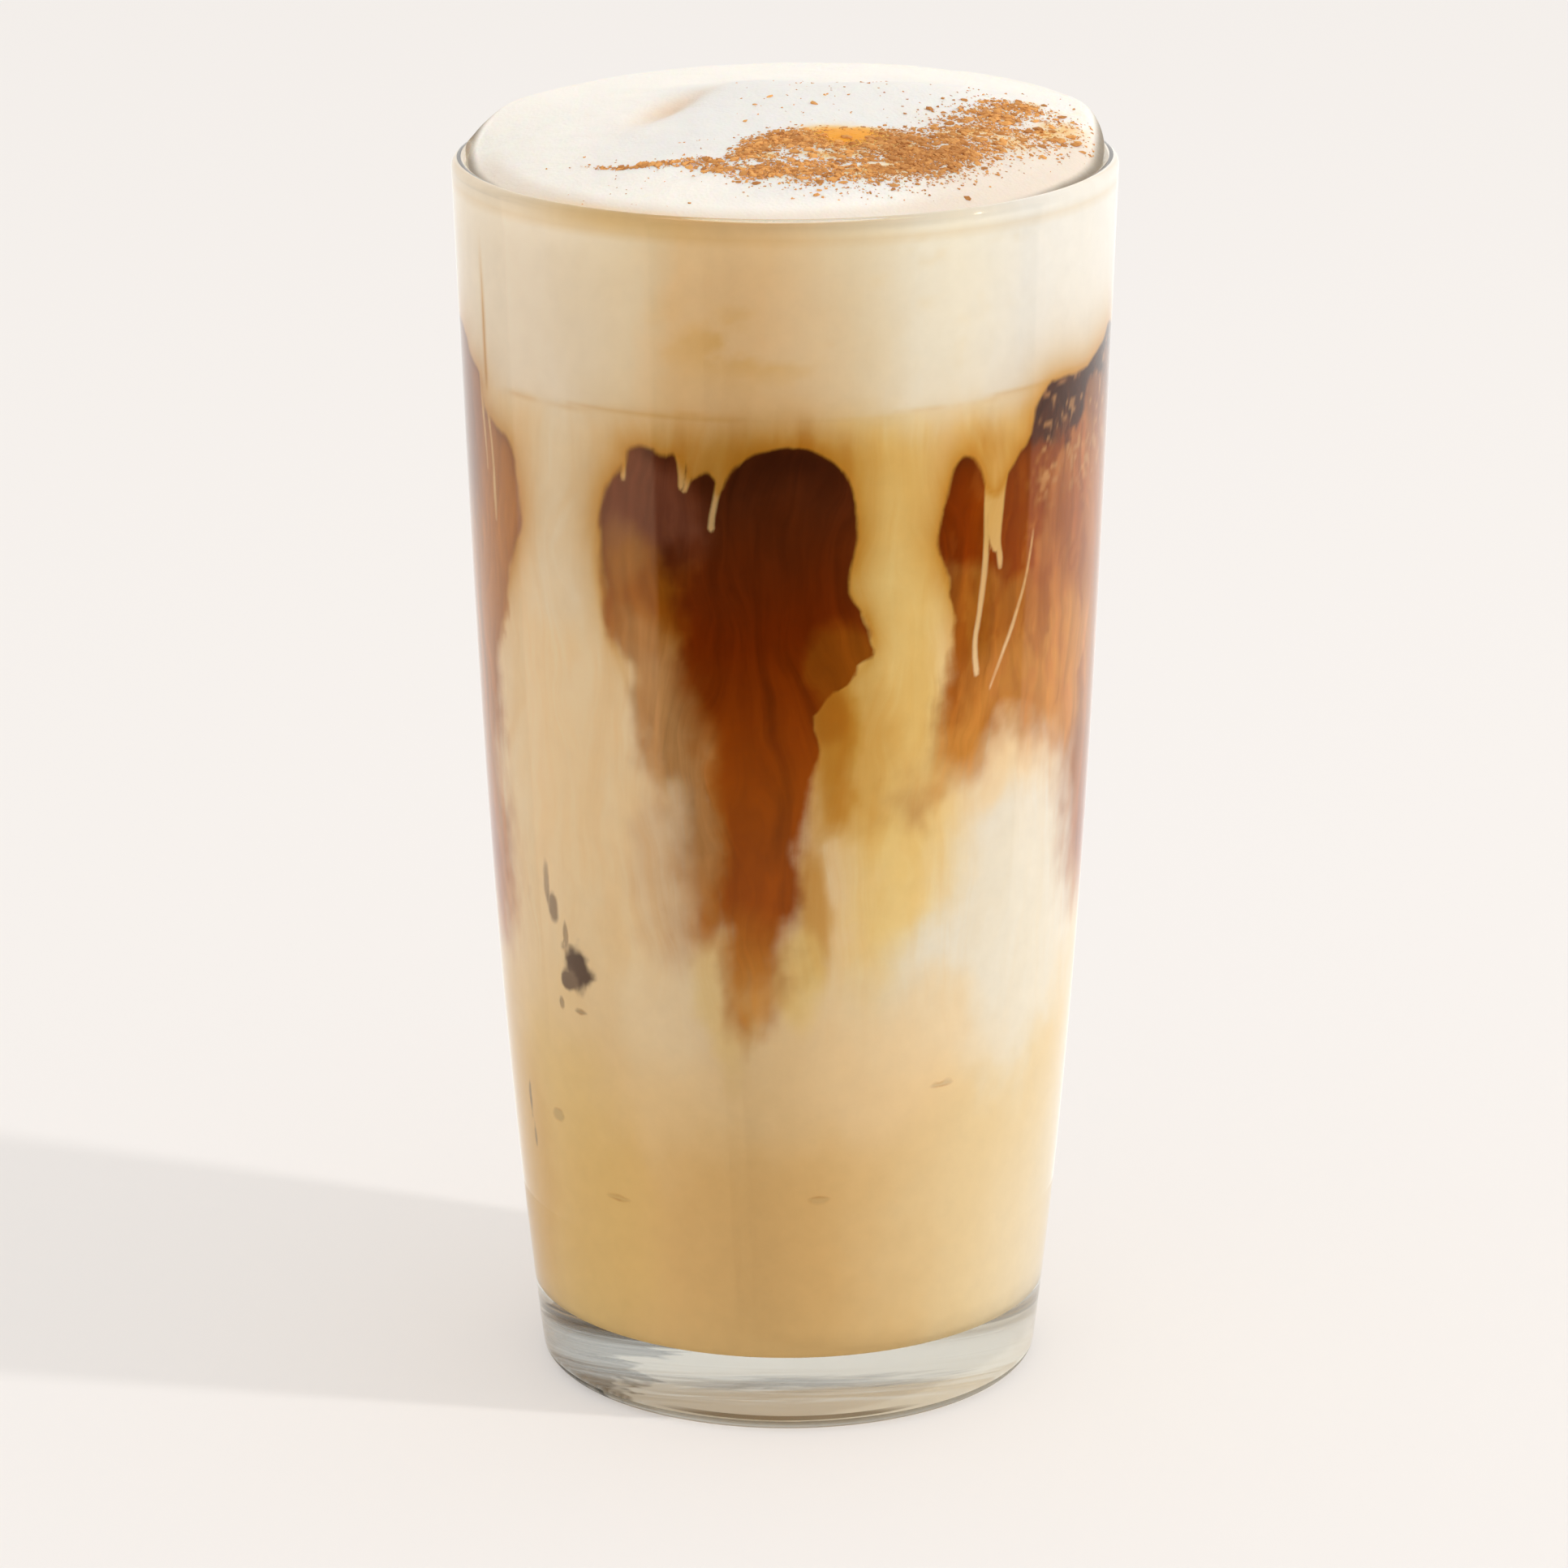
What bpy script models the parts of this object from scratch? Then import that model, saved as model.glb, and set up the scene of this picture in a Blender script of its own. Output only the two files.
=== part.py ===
"""Dirty chai in its tumbler: a turned clear glass, the milky drink that fills it, and a domed milk foam
with a streak of ground cinnamon on top. Metres, +Z up, origin at the middle of the glass's foot."""

import math
import random

import bmesh
import bpy
from mathutils import Matrix, Vector

MM = 0.001

# Driving dimensions, in millimetres.
HEIGHT = 152.2
RIM_RADIUS = 40.0
TAPER = 5.26
BELLY = 1.30
FOOT_TUCK = 5.26
WALL_AT_RIM = 2.0
WALL_AT_FOOT = 2.4
FLOOR_THICKNESS = 9.3
FLOOR_FILLET = 2.5
HEEL_RADIUS = 2.0
CONTACT_RING_WIDTH = 3.6
PUNT_DEPTH = 0.8

FIT_GAP = 0.3
DRINK_LEVEL = 128.4

FOAM_CROWN = 4.5
FOAM_MEAN_RISE = 1.6
FOAM_RISE_BACK = 1.2
FOAM_RISE_RIGHT = 0.6
SHOULDER_RAISED = 1.2
SHOULDER_SUNK = -2.0
SHOULDER_SWEEP = 18.0
SHOULDER_START = 2.0
SHOULDER_SKEW = 5.5
EDGE_DROP = 2.2
EDGE_WIDTH = 0.55
SIDE_TOP_DROP = 8.0

# Swells and folds of the foam: x, y, height, length, width, turn in degrees.
FOAM_RELIEF = (
    (-5.0, 9.0, 0.8, 9.0, 6.0, 10.0),
    (-13.5, 3.5, -1.1, 2.4, 8.5, -28.0),
    (14.0, 9.0, 1.0, 12.0, 4.0, 14.0),
    (13.0, -5.0, -0.9, 20.0, 4.5, 16.0),
    (7.0, -26.5, 0.5, 12.0, 3.0, 2.0),
    (-15.0, -21.0, 0.35, 6.0, 1.6, 12.0),
    (-11.0, -24.0, -0.3, 6.0, 1.2, 12.0),
)

# Middle line of the cinnamon streak seen from above: x, y, half width.
STREAK = (
    (-28.0, -14.0, 0.8),
    (-21.5, -18.5, 1.0),
    (-14.0, -21.5, 1.4),
    (-6.5, -22.8, 3.4),
    (1.0, -22.0, 5.6),
    (8.0, -20.3, 7.0),
    (13.0, -17.0, 8.0),
    (18.0, -11.5, 9.5),
    (23.0, -6.0, 10.5),
    (28.0, 0.0, 10.5),
    (31.5, 5.0, 9.0),
)
FLAKE_COUNT = 96
FLAKE_LENGTH = (1.3, 2.8)
FLAKE_SPACING = 1.7
FLAKE_WIDTH_SHARE = (0.45, 0.7)
FLAKE_HEIGHT_SHARE = (0.4, 0.55)
FLAKE_LIFT_SHARE = 0.15
FLAKE_ROUGHNESS = (0.82, 1.12)
FLAKE_TURN = 0.7
FLAKE_TILT = 0.3
FLAKE_WALL_GAP = 0.5
TOWARDS_BROAD_END = 0.75
FLAKE_SEED = 11

SEGMENTS = 64
SMOOTH_ANGLE = 40
SIDE_STEPS = 8
FOAM_RINGS = 18


def clear_scene():
    for obj in list(bpy.data.objects):
        bpy.data.objects.remove(obj, do_unlink=True)


def material(name, colour, roughness, metallic=0.0, transmission=0.0):
    made = bpy.data.materials.new(name)
    made.use_nodes = True
    shader = made.node_tree.nodes["Principled BSDF"]
    shader.inputs["Base Color"].default_value = (*colour, 1.0)
    shader.inputs["Roughness"].default_value = roughness
    shader.inputs["Metallic"].default_value = metallic
    shader.inputs["Transmission Weight"].default_value = transmission
    made.diffuse_color = (*colour, 1.0)
    return made


def smooth_step(value):
    value = min(max(value, 0.0), 1.0)
    return value * value * (3 - 2 * value)


def outer_radius(z):
    t = 1 - z / HEIGHT
    return RIM_RADIUS - TAPER * t + BELLY * t**2 - FOOT_TUCK * t**3


def inner_radius(z):
    t = 1 - z / HEIGHT
    return outer_radius(z) - WALL_AT_RIM - (WALL_AT_FOOT - WALL_AT_RIM) * t


def heights(low, high, steps):
    return [low + (high - low) * i / steps for i in range(steps + 1)]


def arc(centre, radius, start, end, steps):
    """Points of an arc in the (radius, z) plane; angles in degrees, 0 pointing outwards."""
    points = []
    for i in range(steps + 1):
        angle = math.radians(start + (end - start) * i / steps)
        points.append((centre[0] + radius * math.cos(angle), centre[1] + radius * math.sin(angle)))
    return points


def turned(name, profile, finish):
    """A closed solid turned about Z; its profile runs down the outer side, so its faces point outwards."""
    mesh = bpy.data.meshes.new(name)
    points = [(r * MM, 0.0, z * MM) for r, z in profile]
    mesh.from_pydata(points, [(i, i + 1) for i in range(len(points) - 1)], [])
    obj = bpy.data.objects.new(name, mesh)
    bpy.context.scene.collection.objects.link(obj)
    screw = obj.modifiers.new("turn", "SCREW")
    screw.axis = "Z"
    screw.steps = SEGMENTS
    screw.render_steps = SEGMENTS
    screw.use_merge_vertices = True
    screw.merge_threshold = 0.00001
    screw.use_smooth_shade = True
    mesh.materials.append(finish)
    return obj


def glass_profile():
    lip = WALL_AT_RIM / 2
    lip_z = HEIGHT - lip
    ring_outer = outer_radius(HEEL_RADIUS) - HEEL_RADIUS
    ring_inner = ring_outer - CONTACT_RING_WIDTH
    cavity_foot = inner_radius(FLOOR_THICKNESS) - FLOOR_FILLET
    # From the middle of the cavity's floor, up the inner wall, over the lip, and down to the foot.
    # The arcs start and end where they meet the walls without a kink.
    inside = [(0.0, FLOOR_THICKNESS)]
    inside += arc((cavity_foot, FLOOR_THICKNESS + FLOOR_FILLET), FLOOR_FILLET, -90, -12, 3)
    inside += [(inner_radius(z), z) for z in heights(FLOOR_THICKNESS + 2 * FLOOR_FILLET, lip_z, SIDE_STEPS)]
    over_lip = arc((outer_radius(lip_z) - lip, lip_z), lip, 150, 0, 5)
    outside = [(outer_radius(z), z) for z in heights(lip_z, HEEL_RADIUS, SIDE_STEPS)][1:]
    heel = arc((ring_outer, HEEL_RADIUS), HEEL_RADIUS, -22, -90, 3)
    punt = [(ring_inner, 0.0)]
    punt += [(ring_inner * share, PUNT_DEPTH * (1 - share**2)) for share in (0.8, 0.45, 0.0)]
    return inside + over_lip + outside + heel + punt


def drink_profile():
    low = FLOOR_THICKNESS + FIT_GAP
    fillet_foot = inner_radius(low) - FIT_GAP - FLOOR_FILLET
    side_low = FLOOR_THICKNESS + 2 * FLOOR_FILLET
    profile = [(0.0, DRINK_LEVEL)]
    profile += [(inner_radius(z) - FIT_GAP, z) for z in heights(DRINK_LEVEL, side_low, SIDE_STEPS)]
    profile += arc((fillet_foot, low + FLOOR_FILLET), FLOOR_FILLET, -12, -90, 3)
    return profile + [(0.0, low)]


def foam_rise(x, y):
    """How high the foam's surface stands over the rim at a place seen from above, in millimetres."""
    edge = inner_radius(HEIGHT) - FIT_GAP
    right, back = x / edge, y / edge
    reach = min(math.hypot(right, back), 1.0)
    raised = smooth_step((y - SHOULDER_START + SHOULDER_SKEW * (right + 1)) / SHOULDER_SWEEP)
    rise = FOAM_MEAN_RISE + FOAM_RISE_BACK * back + FOAM_RISE_RIGHT * right
    rise += FOAM_CROWN * (1 - reach**2)
    rise += (SHOULDER_RAISED * raised + SHOULDER_SUNK * (1 - raised)) * reach**4
    rise -= EDGE_DROP * math.exp(-(1 - reach) * edge / EDGE_WIDTH)
    for at_x, at_y, height, length, width, turn in FOAM_RELIEF:
        along, across = turned_offset(x - at_x, y - at_y, turn)
        rise += height * math.exp(-((along / length) ** 2) - (across / width) ** 2)
    return rise


def turned_offset(dx, dy, degrees):
    c, s = math.cos(math.radians(degrees)), math.sin(math.radians(degrees))
    return dx * c + dy * s, dy * c - dx * s


def foam_surface(x, y):
    return HEIGHT + foam_rise(x, y)


def foam_rings():
    """Radii of the foam's rings as shares of its edge, closer together towards the shoulder."""
    return [math.sin(math.pi / 2 * i / FOAM_RINGS) for i in range(1, FOAM_RINGS + 1)]


def ring_of(mesh, radius, height_at):
    """A ring of points round Z; height_at gives the height at each place."""
    ring = []
    for i in range(SEGMENTS):
        angle = 2 * math.pi * i / SEGMENTS
        x, y = radius * math.cos(angle), radius * math.sin(angle)
        ring.append(mesh.verts.new((x * MM, y * MM, height_at(x, y) * MM)))
    return ring


def foam(finish):
    foot = DRINK_LEVEL + FIT_GAP
    edge = inner_radius(HEIGHT) - FIT_GAP
    mesh = bmesh.new()
    middle = mesh.verts.new((0, 0, foam_surface(0, 0) * MM))
    rings = [ring_of(mesh, edge * share, foam_surface) for share in foam_rings()]
    for z in (HEIGHT - SIDE_TOP_DROP, (HEIGHT + foot) / 2, foot):
        rings.append(ring_of(mesh, inner_radius(z) - FIT_GAP, lambda x, y, level=z: level))
    underside = mesh.verts.new((0, 0, foot * MM))
    for i in range(SEGMENTS):
        j = (i + 1) % SEGMENTS
        mesh.faces.new((middle, rings[0][i], rings[0][j]))
        for inner, outer in zip(rings, rings[1:]):
            mesh.faces.new((inner[i], outer[i], outer[j], inner[j]))
        mesh.faces.new((rings[-1][i], underside, rings[-1][j]))
    data = bpy.data.meshes.new("foam")
    mesh.to_mesh(data)
    mesh.free()
    obj = bpy.data.objects.new("foam", data)
    bpy.context.scene.collection.objects.link(obj)
    data.materials.append(finish)
    return obj


def streak_at(share):
    """Middle and half width of the streak at a share of its length, from its tail to its broad end."""
    place = share * (len(STREAK) - 1)
    low = min(int(place), len(STREAK) - 2)
    part = place - low
    return [a + (b - a) * part for a, b in zip(STREAK[low], STREAK[low + 1])]


def flake_places(rng):
    """Places of the largest flakes, evenly spread along the streak and clear of the glass."""
    limit = inner_radius(HEIGHT) - FIT_GAP - FLAKE_LENGTH[1] / 2 - FLAKE_WALL_GAP
    places = []
    while len(places) < FLAKE_COUNT:
        share = rng.random() ** TOWARDS_BROAD_END
        x, y, half_width = streak_at(share)
        ahead = streak_at(min(share + 0.02, 1.0))
        back = streak_at(max(share - 0.02, 0.0))
        heading = math.atan2(ahead[1] - back[1], ahead[0] - back[0])
        offset = rng.uniform(-1, 1) * half_width
        x -= offset * math.sin(heading)
        y += offset * math.cos(heading)
        if math.hypot(x, y) > limit:
            continue
        if all(math.hypot(x - px, y - py) > FLAKE_SPACING for px, py in places):
            places.append((x, y))
    return places


def flake(x, y, rng):
    """A low angular chip of cinnamon, half sunk in the foam."""
    length = rng.uniform(*FLAKE_LENGTH)
    width = length * rng.uniform(*FLAKE_WIDTH_SHARE)
    thickness = length * rng.uniform(*FLAKE_HEIGHT_SHARE)
    size = Vector((length, width, thickness)) / 2
    turn = Matrix.Rotation(rng.uniform(-FLAKE_TURN, FLAKE_TURN), 4, "Z")
    tilt = Matrix.Rotation(rng.uniform(-FLAKE_TILT, FLAKE_TILT), 4, "X")
    place = Matrix.Translation(Vector((x, y, foam_surface(x, y) + size.z * FLAKE_LIFT_SHARE)) * MM)
    mesh = bmesh.new()
    bmesh.ops.create_icosphere(mesh, subdivisions=1, radius=1.0)
    for vert in mesh.verts:
        vert.co *= rng.uniform(*FLAKE_ROUGHNESS)
    shape = Matrix.Diagonal((*(size * MM), 1.0))
    bmesh.ops.transform(mesh, matrix=place @ turn @ tilt @ shape, verts=mesh.verts)
    data = bpy.data.meshes.new("flake")
    mesh.to_mesh(data)
    mesh.free()
    return bpy.data.objects.new("flake", data)


def fuse_cinnamon(body, finish):
    """Joins the flakes to the foam with one Boolean union, then removes them."""
    rng = random.Random(FLAKE_SEED)
    flakes = bpy.data.collections.new("flakes")
    bpy.context.scene.collection.children.link(flakes)
    for x, y in flake_places(rng):
        chip = flake(x, y, rng)
        chip.data.materials.append(finish)
        flakes.objects.link(chip)
    union = body.modifiers.new("cinnamon", "BOOLEAN")
    union.operation = "UNION"
    union.operand_type = "COLLECTION"
    union.collection = flakes
    union.solver = "MANIFOLD"
    union.material_mode = "TRANSFER"
    bpy.context.view_layer.update()
    fused = bpy.data.meshes.new_from_object(body.evaluated_get(bpy.context.evaluated_depsgraph_get()))
    body.modifiers.clear()
    body.data = fused
    for chip in list(flakes.objects):
        bpy.data.objects.remove(chip, do_unlink=True)
    bpy.data.collections.remove(flakes)
    fused.name = "foam"
    fused.shade_smooth()
    fused.set_sharp_from_angle(angle=math.radians(SMOOTH_ANGLE))


def main():
    clear_scene()
    clear_glass = material("clear glass", (0.90, 0.93, 0.92), 0.03, transmission=1.0)
    milky_drink = material("chai with espresso", (0.55, 0.33, 0.14), 0.35)
    milk_foam = material("milk foam", (0.93, 0.87, 0.76), 0.65)
    cinnamon = material("ground cinnamon", (0.42, 0.19, 0.05), 0.85)
    turned("glass", glass_profile(), clear_glass)
    turned("drink", drink_profile(), milky_drink)
    fuse_cinnamon(foam(milk_foam), cinnamon)


if __name__ == "__main__":
    main()
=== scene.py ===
"""Looks of a dirty chai in its tumbler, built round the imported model: clear glass, marbled chai, milk foam
and ground cinnamon. It is laid out as an add-on and is run as a script. Lengths are in millimetres until a
mesh is made, and a place on the glass's wall is its turn from the front in degrees and its height."""

import math
import random

import bpy
import numpy as np
from mathutils import Matrix, Vector


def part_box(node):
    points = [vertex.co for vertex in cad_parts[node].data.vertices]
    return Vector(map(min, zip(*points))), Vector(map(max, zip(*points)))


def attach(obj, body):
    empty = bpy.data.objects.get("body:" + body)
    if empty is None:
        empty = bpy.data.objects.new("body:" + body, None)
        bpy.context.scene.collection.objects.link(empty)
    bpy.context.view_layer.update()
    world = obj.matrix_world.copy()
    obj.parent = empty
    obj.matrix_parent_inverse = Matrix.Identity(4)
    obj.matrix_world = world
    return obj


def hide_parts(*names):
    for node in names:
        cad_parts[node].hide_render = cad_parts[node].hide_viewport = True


bl_info = {
    "name": "Dirty chai in a tumbler",
    "version": (1, 0, 0),
    "blender": (4, 5, 0),
    "location": "View3D > Sidebar > Chai",
    "description": "Clear tumbler, marbled chai, milk foam and ground cinnamon round a fixed model",
    "category": "Object",
}

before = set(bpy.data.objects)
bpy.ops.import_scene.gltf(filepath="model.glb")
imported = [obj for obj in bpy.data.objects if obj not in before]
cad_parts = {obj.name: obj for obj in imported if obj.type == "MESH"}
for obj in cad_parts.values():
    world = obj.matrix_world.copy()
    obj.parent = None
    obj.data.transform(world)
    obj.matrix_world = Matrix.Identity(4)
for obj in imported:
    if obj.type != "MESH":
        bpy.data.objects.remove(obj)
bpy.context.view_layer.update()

MM = 0.001
BODY = "root"

# The tumbler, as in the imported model.
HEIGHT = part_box("glass")[1].z / MM
RIM_RADIUS = 40.0
TAPER = 5.26
BELLY = 1.30
FOOT_TUCK = 5.26
WALL_AT_RIM = 2.0
WALL_AT_FOOT = 2.4
FLOOR_THICKNESS = 9.3
FLOOR_FILLET = 2.5
FILLET_TOP = FLOOR_THICKNESS + FLOOR_FILLET
HEEL_RADIUS = 2.0
CONTACT_RING_WIDTH = 3.6
PUNT_DEPTH = 0.8
# Height up to which the underside is stippled.
UNDERSIDE_TOP = 1.5
GLASS_IOR = 1.5
DRINK_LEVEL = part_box("drink")[1].z / MM
FOAM_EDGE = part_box("foam")[1].x / MM

# The foam's dome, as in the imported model.
FOAM_CROWN = 4.5
FOAM_MEAN_RISE = 1.6
FOAM_RISE_BACK = 1.2
FOAM_RISE_RIGHT = 0.6
SHOULDER_RAISED = 1.2
SHOULDER_SUNK = -2.0
SHOULDER_SWEEP = 18.0
SHOULDER_START = 2.0
SHOULDER_SKEW = 5.5
# Swells and folds: x, y, height, length, width, turn in degrees.
FOAM_RELIEF = (
    (-5.0, 9.0, 0.8, 9.0, 6.0, 10.0),
    (-13.5, 3.5, -1.1, 2.4, 8.5, -28.0),
    (14.0, 9.0, 1.0, 12.0, 4.0, 14.0),
    (13.0, -5.0, -0.9, 20.0, 4.5, 16.0),
    (7.0, -26.5, 0.5, 12.0, 3.0, 2.0),
    (-15.0, -21.0, 0.35, 6.0, 1.6, 12.0),
    (-11.0, -24.0, -0.3, 6.0, 1.2, 12.0),
)
# Bands of cinnamon from above, each a middle line of (x, y, half width) with its share of the grains.
CINNAMON_BANDS = (
    (((-22.1, -18.1, 0.4), (-17.7, -20.6, 0.5), (-14.4, -21.4, 0.7), (-11.1, -21.4, 0.9), (-7.8, -21.6, 1)),
     0.025),
    (((-5.5, -20.5, 1), (-1.6, -16.8, 3.2), (1.7, -15.3, 4.4), (5, -15, 4.6), (8.8, -15.4, 4.6),
      (12.6, -16.5, 4.2), (16.4, -16, 4)), 0.25),
    (((-8.5, -23.2, 1), (-3.5, -25.4, 2.2), (1.2, -25.6, 3.4), (5.9, -25.4, 3.8), (10.6, -24.4, 4),
      (14.4, -22.6, 4.2), (18.2, -19.6, 4), (21.2, -16, 3)), 0.25),
    (((-3.5, -21, 1.5), (1.2, -21, 2.5), (5.9, -20.9, 2.5), (10.7, -20, 3), (14.5, -18.7, 3)), 0.03),
    (((13.5, -20.9, 4.5), (17.3, -17.3, 5.5), (20.3, -12.3, 6), (23.5, -3.1, 5.5), (26.1, 2.2, 4.5),
      (28.9, 6.9, 3)), 0.165),
    (((20, -16, 3), (25, -10.5, 4), (29, -5.5, 5), (32, -1, 5), (34, 4, 3.5)), 0.055),
)
# Middle line of the streak that the largest flakes lie along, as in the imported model: x, y, half width.
FLAKE_STREAK = (
    (-28.0, -14.0, 0.8), (-21.5, -18.5, 1.0), (-14.0, -21.5, 1.4), (-6.5, -22.8, 3.4), (1.0, -22.0, 5.6),
    (8.0, -20.3, 7.0), (13.0, -17.0, 8.0), (18.0, -11.5, 9.5), (23.0, -6.0, 10.5), (28.0, 0.0, 10.5),
    (31.5, 5.0, 9.0),
)
FLAKE_COUNT = 96
FLAKE_SPACING = 1.7
FLAKE_LIMIT = 35.8

# The lip's round: its size, the radius of its middle and that middle's height.
LIP = WALL_AT_RIM / 2
LIP_HEIGHT = HEIGHT - LIP
LIP_RADIUS = RIM_RADIUS - TAPER * LIP / HEIGHT - LIP

# How far what fills the glass reaches into its wall, so that no air shows between them.
INTO_WALL = 0.06
# Degrees of the lip's round that the foam covers in front, and how many more behind; how thick it lies there.
LAP_IN_FRONT = 12
LAP_MORE_BEHIND = 120
FOAM_OVER_LIP = 0.03
# Points closer than this are made one.
WELD = 0.002
# Edges sharper than this stay sharp.
SHARP_FROM = math.radians(50)
# Cinnamon: smallest and largest length of a grain and of a flake, share of the grains that lie astray, and
# how far a chip's corners are pushed in or out.
GRAIN_SIZES = (0.18, 0.5)
FLAKE_SIZES = (0.5, 1.5)
ASTRAY = 0.015
CHIP_SPREAD = 0.06
# Millimetres along the wall for one degree round it, half-way up.
DEGREE = 0.63

# Pockets of espresso on the wall: outlines of (turn, height).
HEART = (
    (-12.9, 61), (-13.6, 66), (-15, 72), (-16.2, 78), (-17.2, 84), (-18.1, 90), (-19, 96), (-20, 102),
    (-20.8, 108), (-21.8, 114), (-22, 119.8), (-21, 123), (-19.4, 123.7), (-17.8, 122.3), (-16.6, 121),
    (-14.3, 121.9), (-12.6, 121), (-11.7, 119.6), (-10.8, 121.2), (-9.5, 122.6), (-7, 124), (-2.6, 125),
    (2.3, 125.1), (5.9, 124.3), (9.5, 122.7), (11.5, 120.2), (12.7, 116.8), (13, 113.8), (12, 110.6),
    (11.1, 108.4), (12.3, 106.3), (14.8, 104.2), (16.2, 101.6), (15.6, 99), (12.6, 97), (9, 95.2), (6.2, 94),
    (5.3, 91.7), (5.8, 88.4), (4.6, 84.7), (3.1, 80.7), (1.2, 76.7), (0.7, 72.6), (0.3, 68.5), (0.1, 64.4),
    (-0.2, 60.5), (-1.4, 56.6), (-3.4, 54), (-6.4, 52.6), (-9.6, 53.6), (-11.9, 57),
)
WEST = (
    (-35.7, 114.8), (-35.6, 110.9), (-35.1, 106), (-34.2, 101), (-31.6, 96.4), (-29.4, 92), (-27.5, 87),
    (-25.1, 82), (-22, 76), (-18.9, 70), (-15, 66), (-10, 69), (-8, 84), (-8, 96), (-10, 108),
    (-16, 118), (-18, 122.3), (-19.4, 123.7), (-23, 123.7), (-24.8, 124.5), (-28.9, 123.9), (-29.8, 122.2),
    (-33, 120), (-34.8, 117.9),
)
FAR_WEST = (
    (-79.8, 132.5), (-75.5, 129.8), (-70.5, 128.4), (-68.6, 124.8), (-63.6, 123), (-59, 121.5),
    (-57.2, 118.3), (-56.2, 114), (-57.1, 110.9), (-60.7, 105.8), (-64.5, 99.2), (-68.6, 92.5), (-70.7, 86),
    (-70.7, 79.8), (-69, 74), (-68, 68), (-72, 60), (-80, 56), (-88, 62), (-98, 74), (-104, 92), (-103, 112),
    (-97, 127), (-88, 133),
)
EAST = (
    (29.1, 110.4), (28.4, 113.4), (29.3, 117.2), (30.7, 120.6), (32.8, 122.5), (35.4, 122), (37.7, 119.4),
    (39.2, 118), (41, 117.6), (43.1, 119.3), (46, 121.5), (49.1, 123.6), (50, 126.7), (53.2, 129),
    (58.3, 129.6), (66.2, 129.4), (73, 130.7), (77.3, 131.6), (82, 132.6), (90, 131), (98, 126), (105, 116),
    (107, 102), (103, 86), (94, 74), (84, 64), (76, 62), (70.5, 66), (66.3, 78.3), (61.4, 84.5), (55.4, 86.7),
    (47.9, 87.3), (41.6, 85.1), (36, 82.5), (31, 81), (28, 83), (28.8, 88), (30.5, 92), (32.2, 96),
    (32.6, 100.1), (31.9, 104.2),
)
# Where the espresso stands thick in the east pocket, over the lower edge of an ice cube.
EAST_THICK = (
    (30.6, 109.6), (28, 111), (27.4, 113.4), (28, 118), (30, 122.6), (35, 125), (44, 124), (48.4, 125),
    (49.5, 128), (53, 131), (66, 132), (73, 133), (80, 134.4), (86, 132), (79.6, 128.7), (70.5, 127.1),
    (66.9, 124.7), (62.8, 122.3), (58.1, 120), (54.5, 116.5), (53.6, 112.6), (50.3, 109.6), (44.9, 108.2),
    (38, 107.8),
)
# Outline, side (-1 mirrors), shift round, height down to which the edge is crisp, softness there, height at
# which it has faded out, softness there, seed.
POCKETS = (
    (HEART, 1, 0, 92, 0.30, 54, 3.6, 40),
    (WEST, 1, 0, 114, 0.45, 76, 4.6, 50),
    (FAR_WEST, 1, 0, 104, 0.45, 70, 5.0, 60),
    (EAST, 1, 0, 104, 0.35, 82, 6.0, 70),
    (HEART, -1, 164, 102, 0.40, 66, 4.0, 80),
    (WEST, -1, 158, 112, 0.50, 84, 6.0, 90),
    (HEART, 1, -140, 106, 0.40, 74, 4.0, 100),
)
# Threads of milk that run down over the coffee: turn, height, half width.
DRIPS = (
    ((-19.6, 129, 2.2), (-19.3, 125.6, 1.1), (-18.8, 122.4, 0.5), (-18.9, 119.9, 0.25)),
    ((-16.2, 129, 1.6), (-16.3, 124.5, 0.8), (-17.3, 121.4, 0.4), (-18.2, 119.6, 0.25)),
    ((-10.4, 129, 1.8), (-10.7, 124.2, 0.7), (-12.3, 119.6, 0.32), (-13.4, 116.4, 0.3), (-13.6, 115.2, 0.36)),
    ((-30.1, 126, 0.6), (-30, 122.5, 0.3), (-30.3, 120.4, 0.3)),
    ((38.9, 129, 1.2), (38.5, 123, 0.5), (38.6, 116, 0.3), (38.7, 108.5, 0.34), (37.6, 102.6, 0.3),
     (36.9, 99.5, 0.32), (37.5, 95.8, 0.4)),
    ((40.2, 129, 3.4), (40.0, 123, 2.2), (39.9, 119, 1.2), (40.4, 113, 0.7), (40.9, 110.6, 0.3)),
    ((42.6, 124, 1.6), (41.9, 118, 0.7), (41.6, 112, 0.34), (42.2, 109.6, 0.4), (42.4, 108.3, 0.26)),
    ((50.9, 112, 0.1), (50.7, 110.5, 0.18), (48.9, 105.3, 0.22), (44.6, 98.8, 0.24), (40.8, 93.4, 0.12)),
    ((-69.0, 131, 0.9), (-69.4, 126, 0.4), (-69.0, 121, 0.2), (-68.7, 117, 0.12)),
    ((-67.0, 131, 0.7), (-67.4, 126, 0.34), (-66.2, 119.6, 0.2), (-65.8, 114.8, 0.3), (-65.7, 111.2, 0.14)),
    ((150, 129, 1.6), (149.6, 122, 0.6), (150.2, 112, 0.4)),
    ((171, 129, 2.2), (170.6, 121, 0.9), (171.3, 114, 0.45), (171, 106, 0.35)),
    ((-146, 129, 1.8), (-146.4, 120, 0.6), (-146, 113, 0.4)),
)
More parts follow.
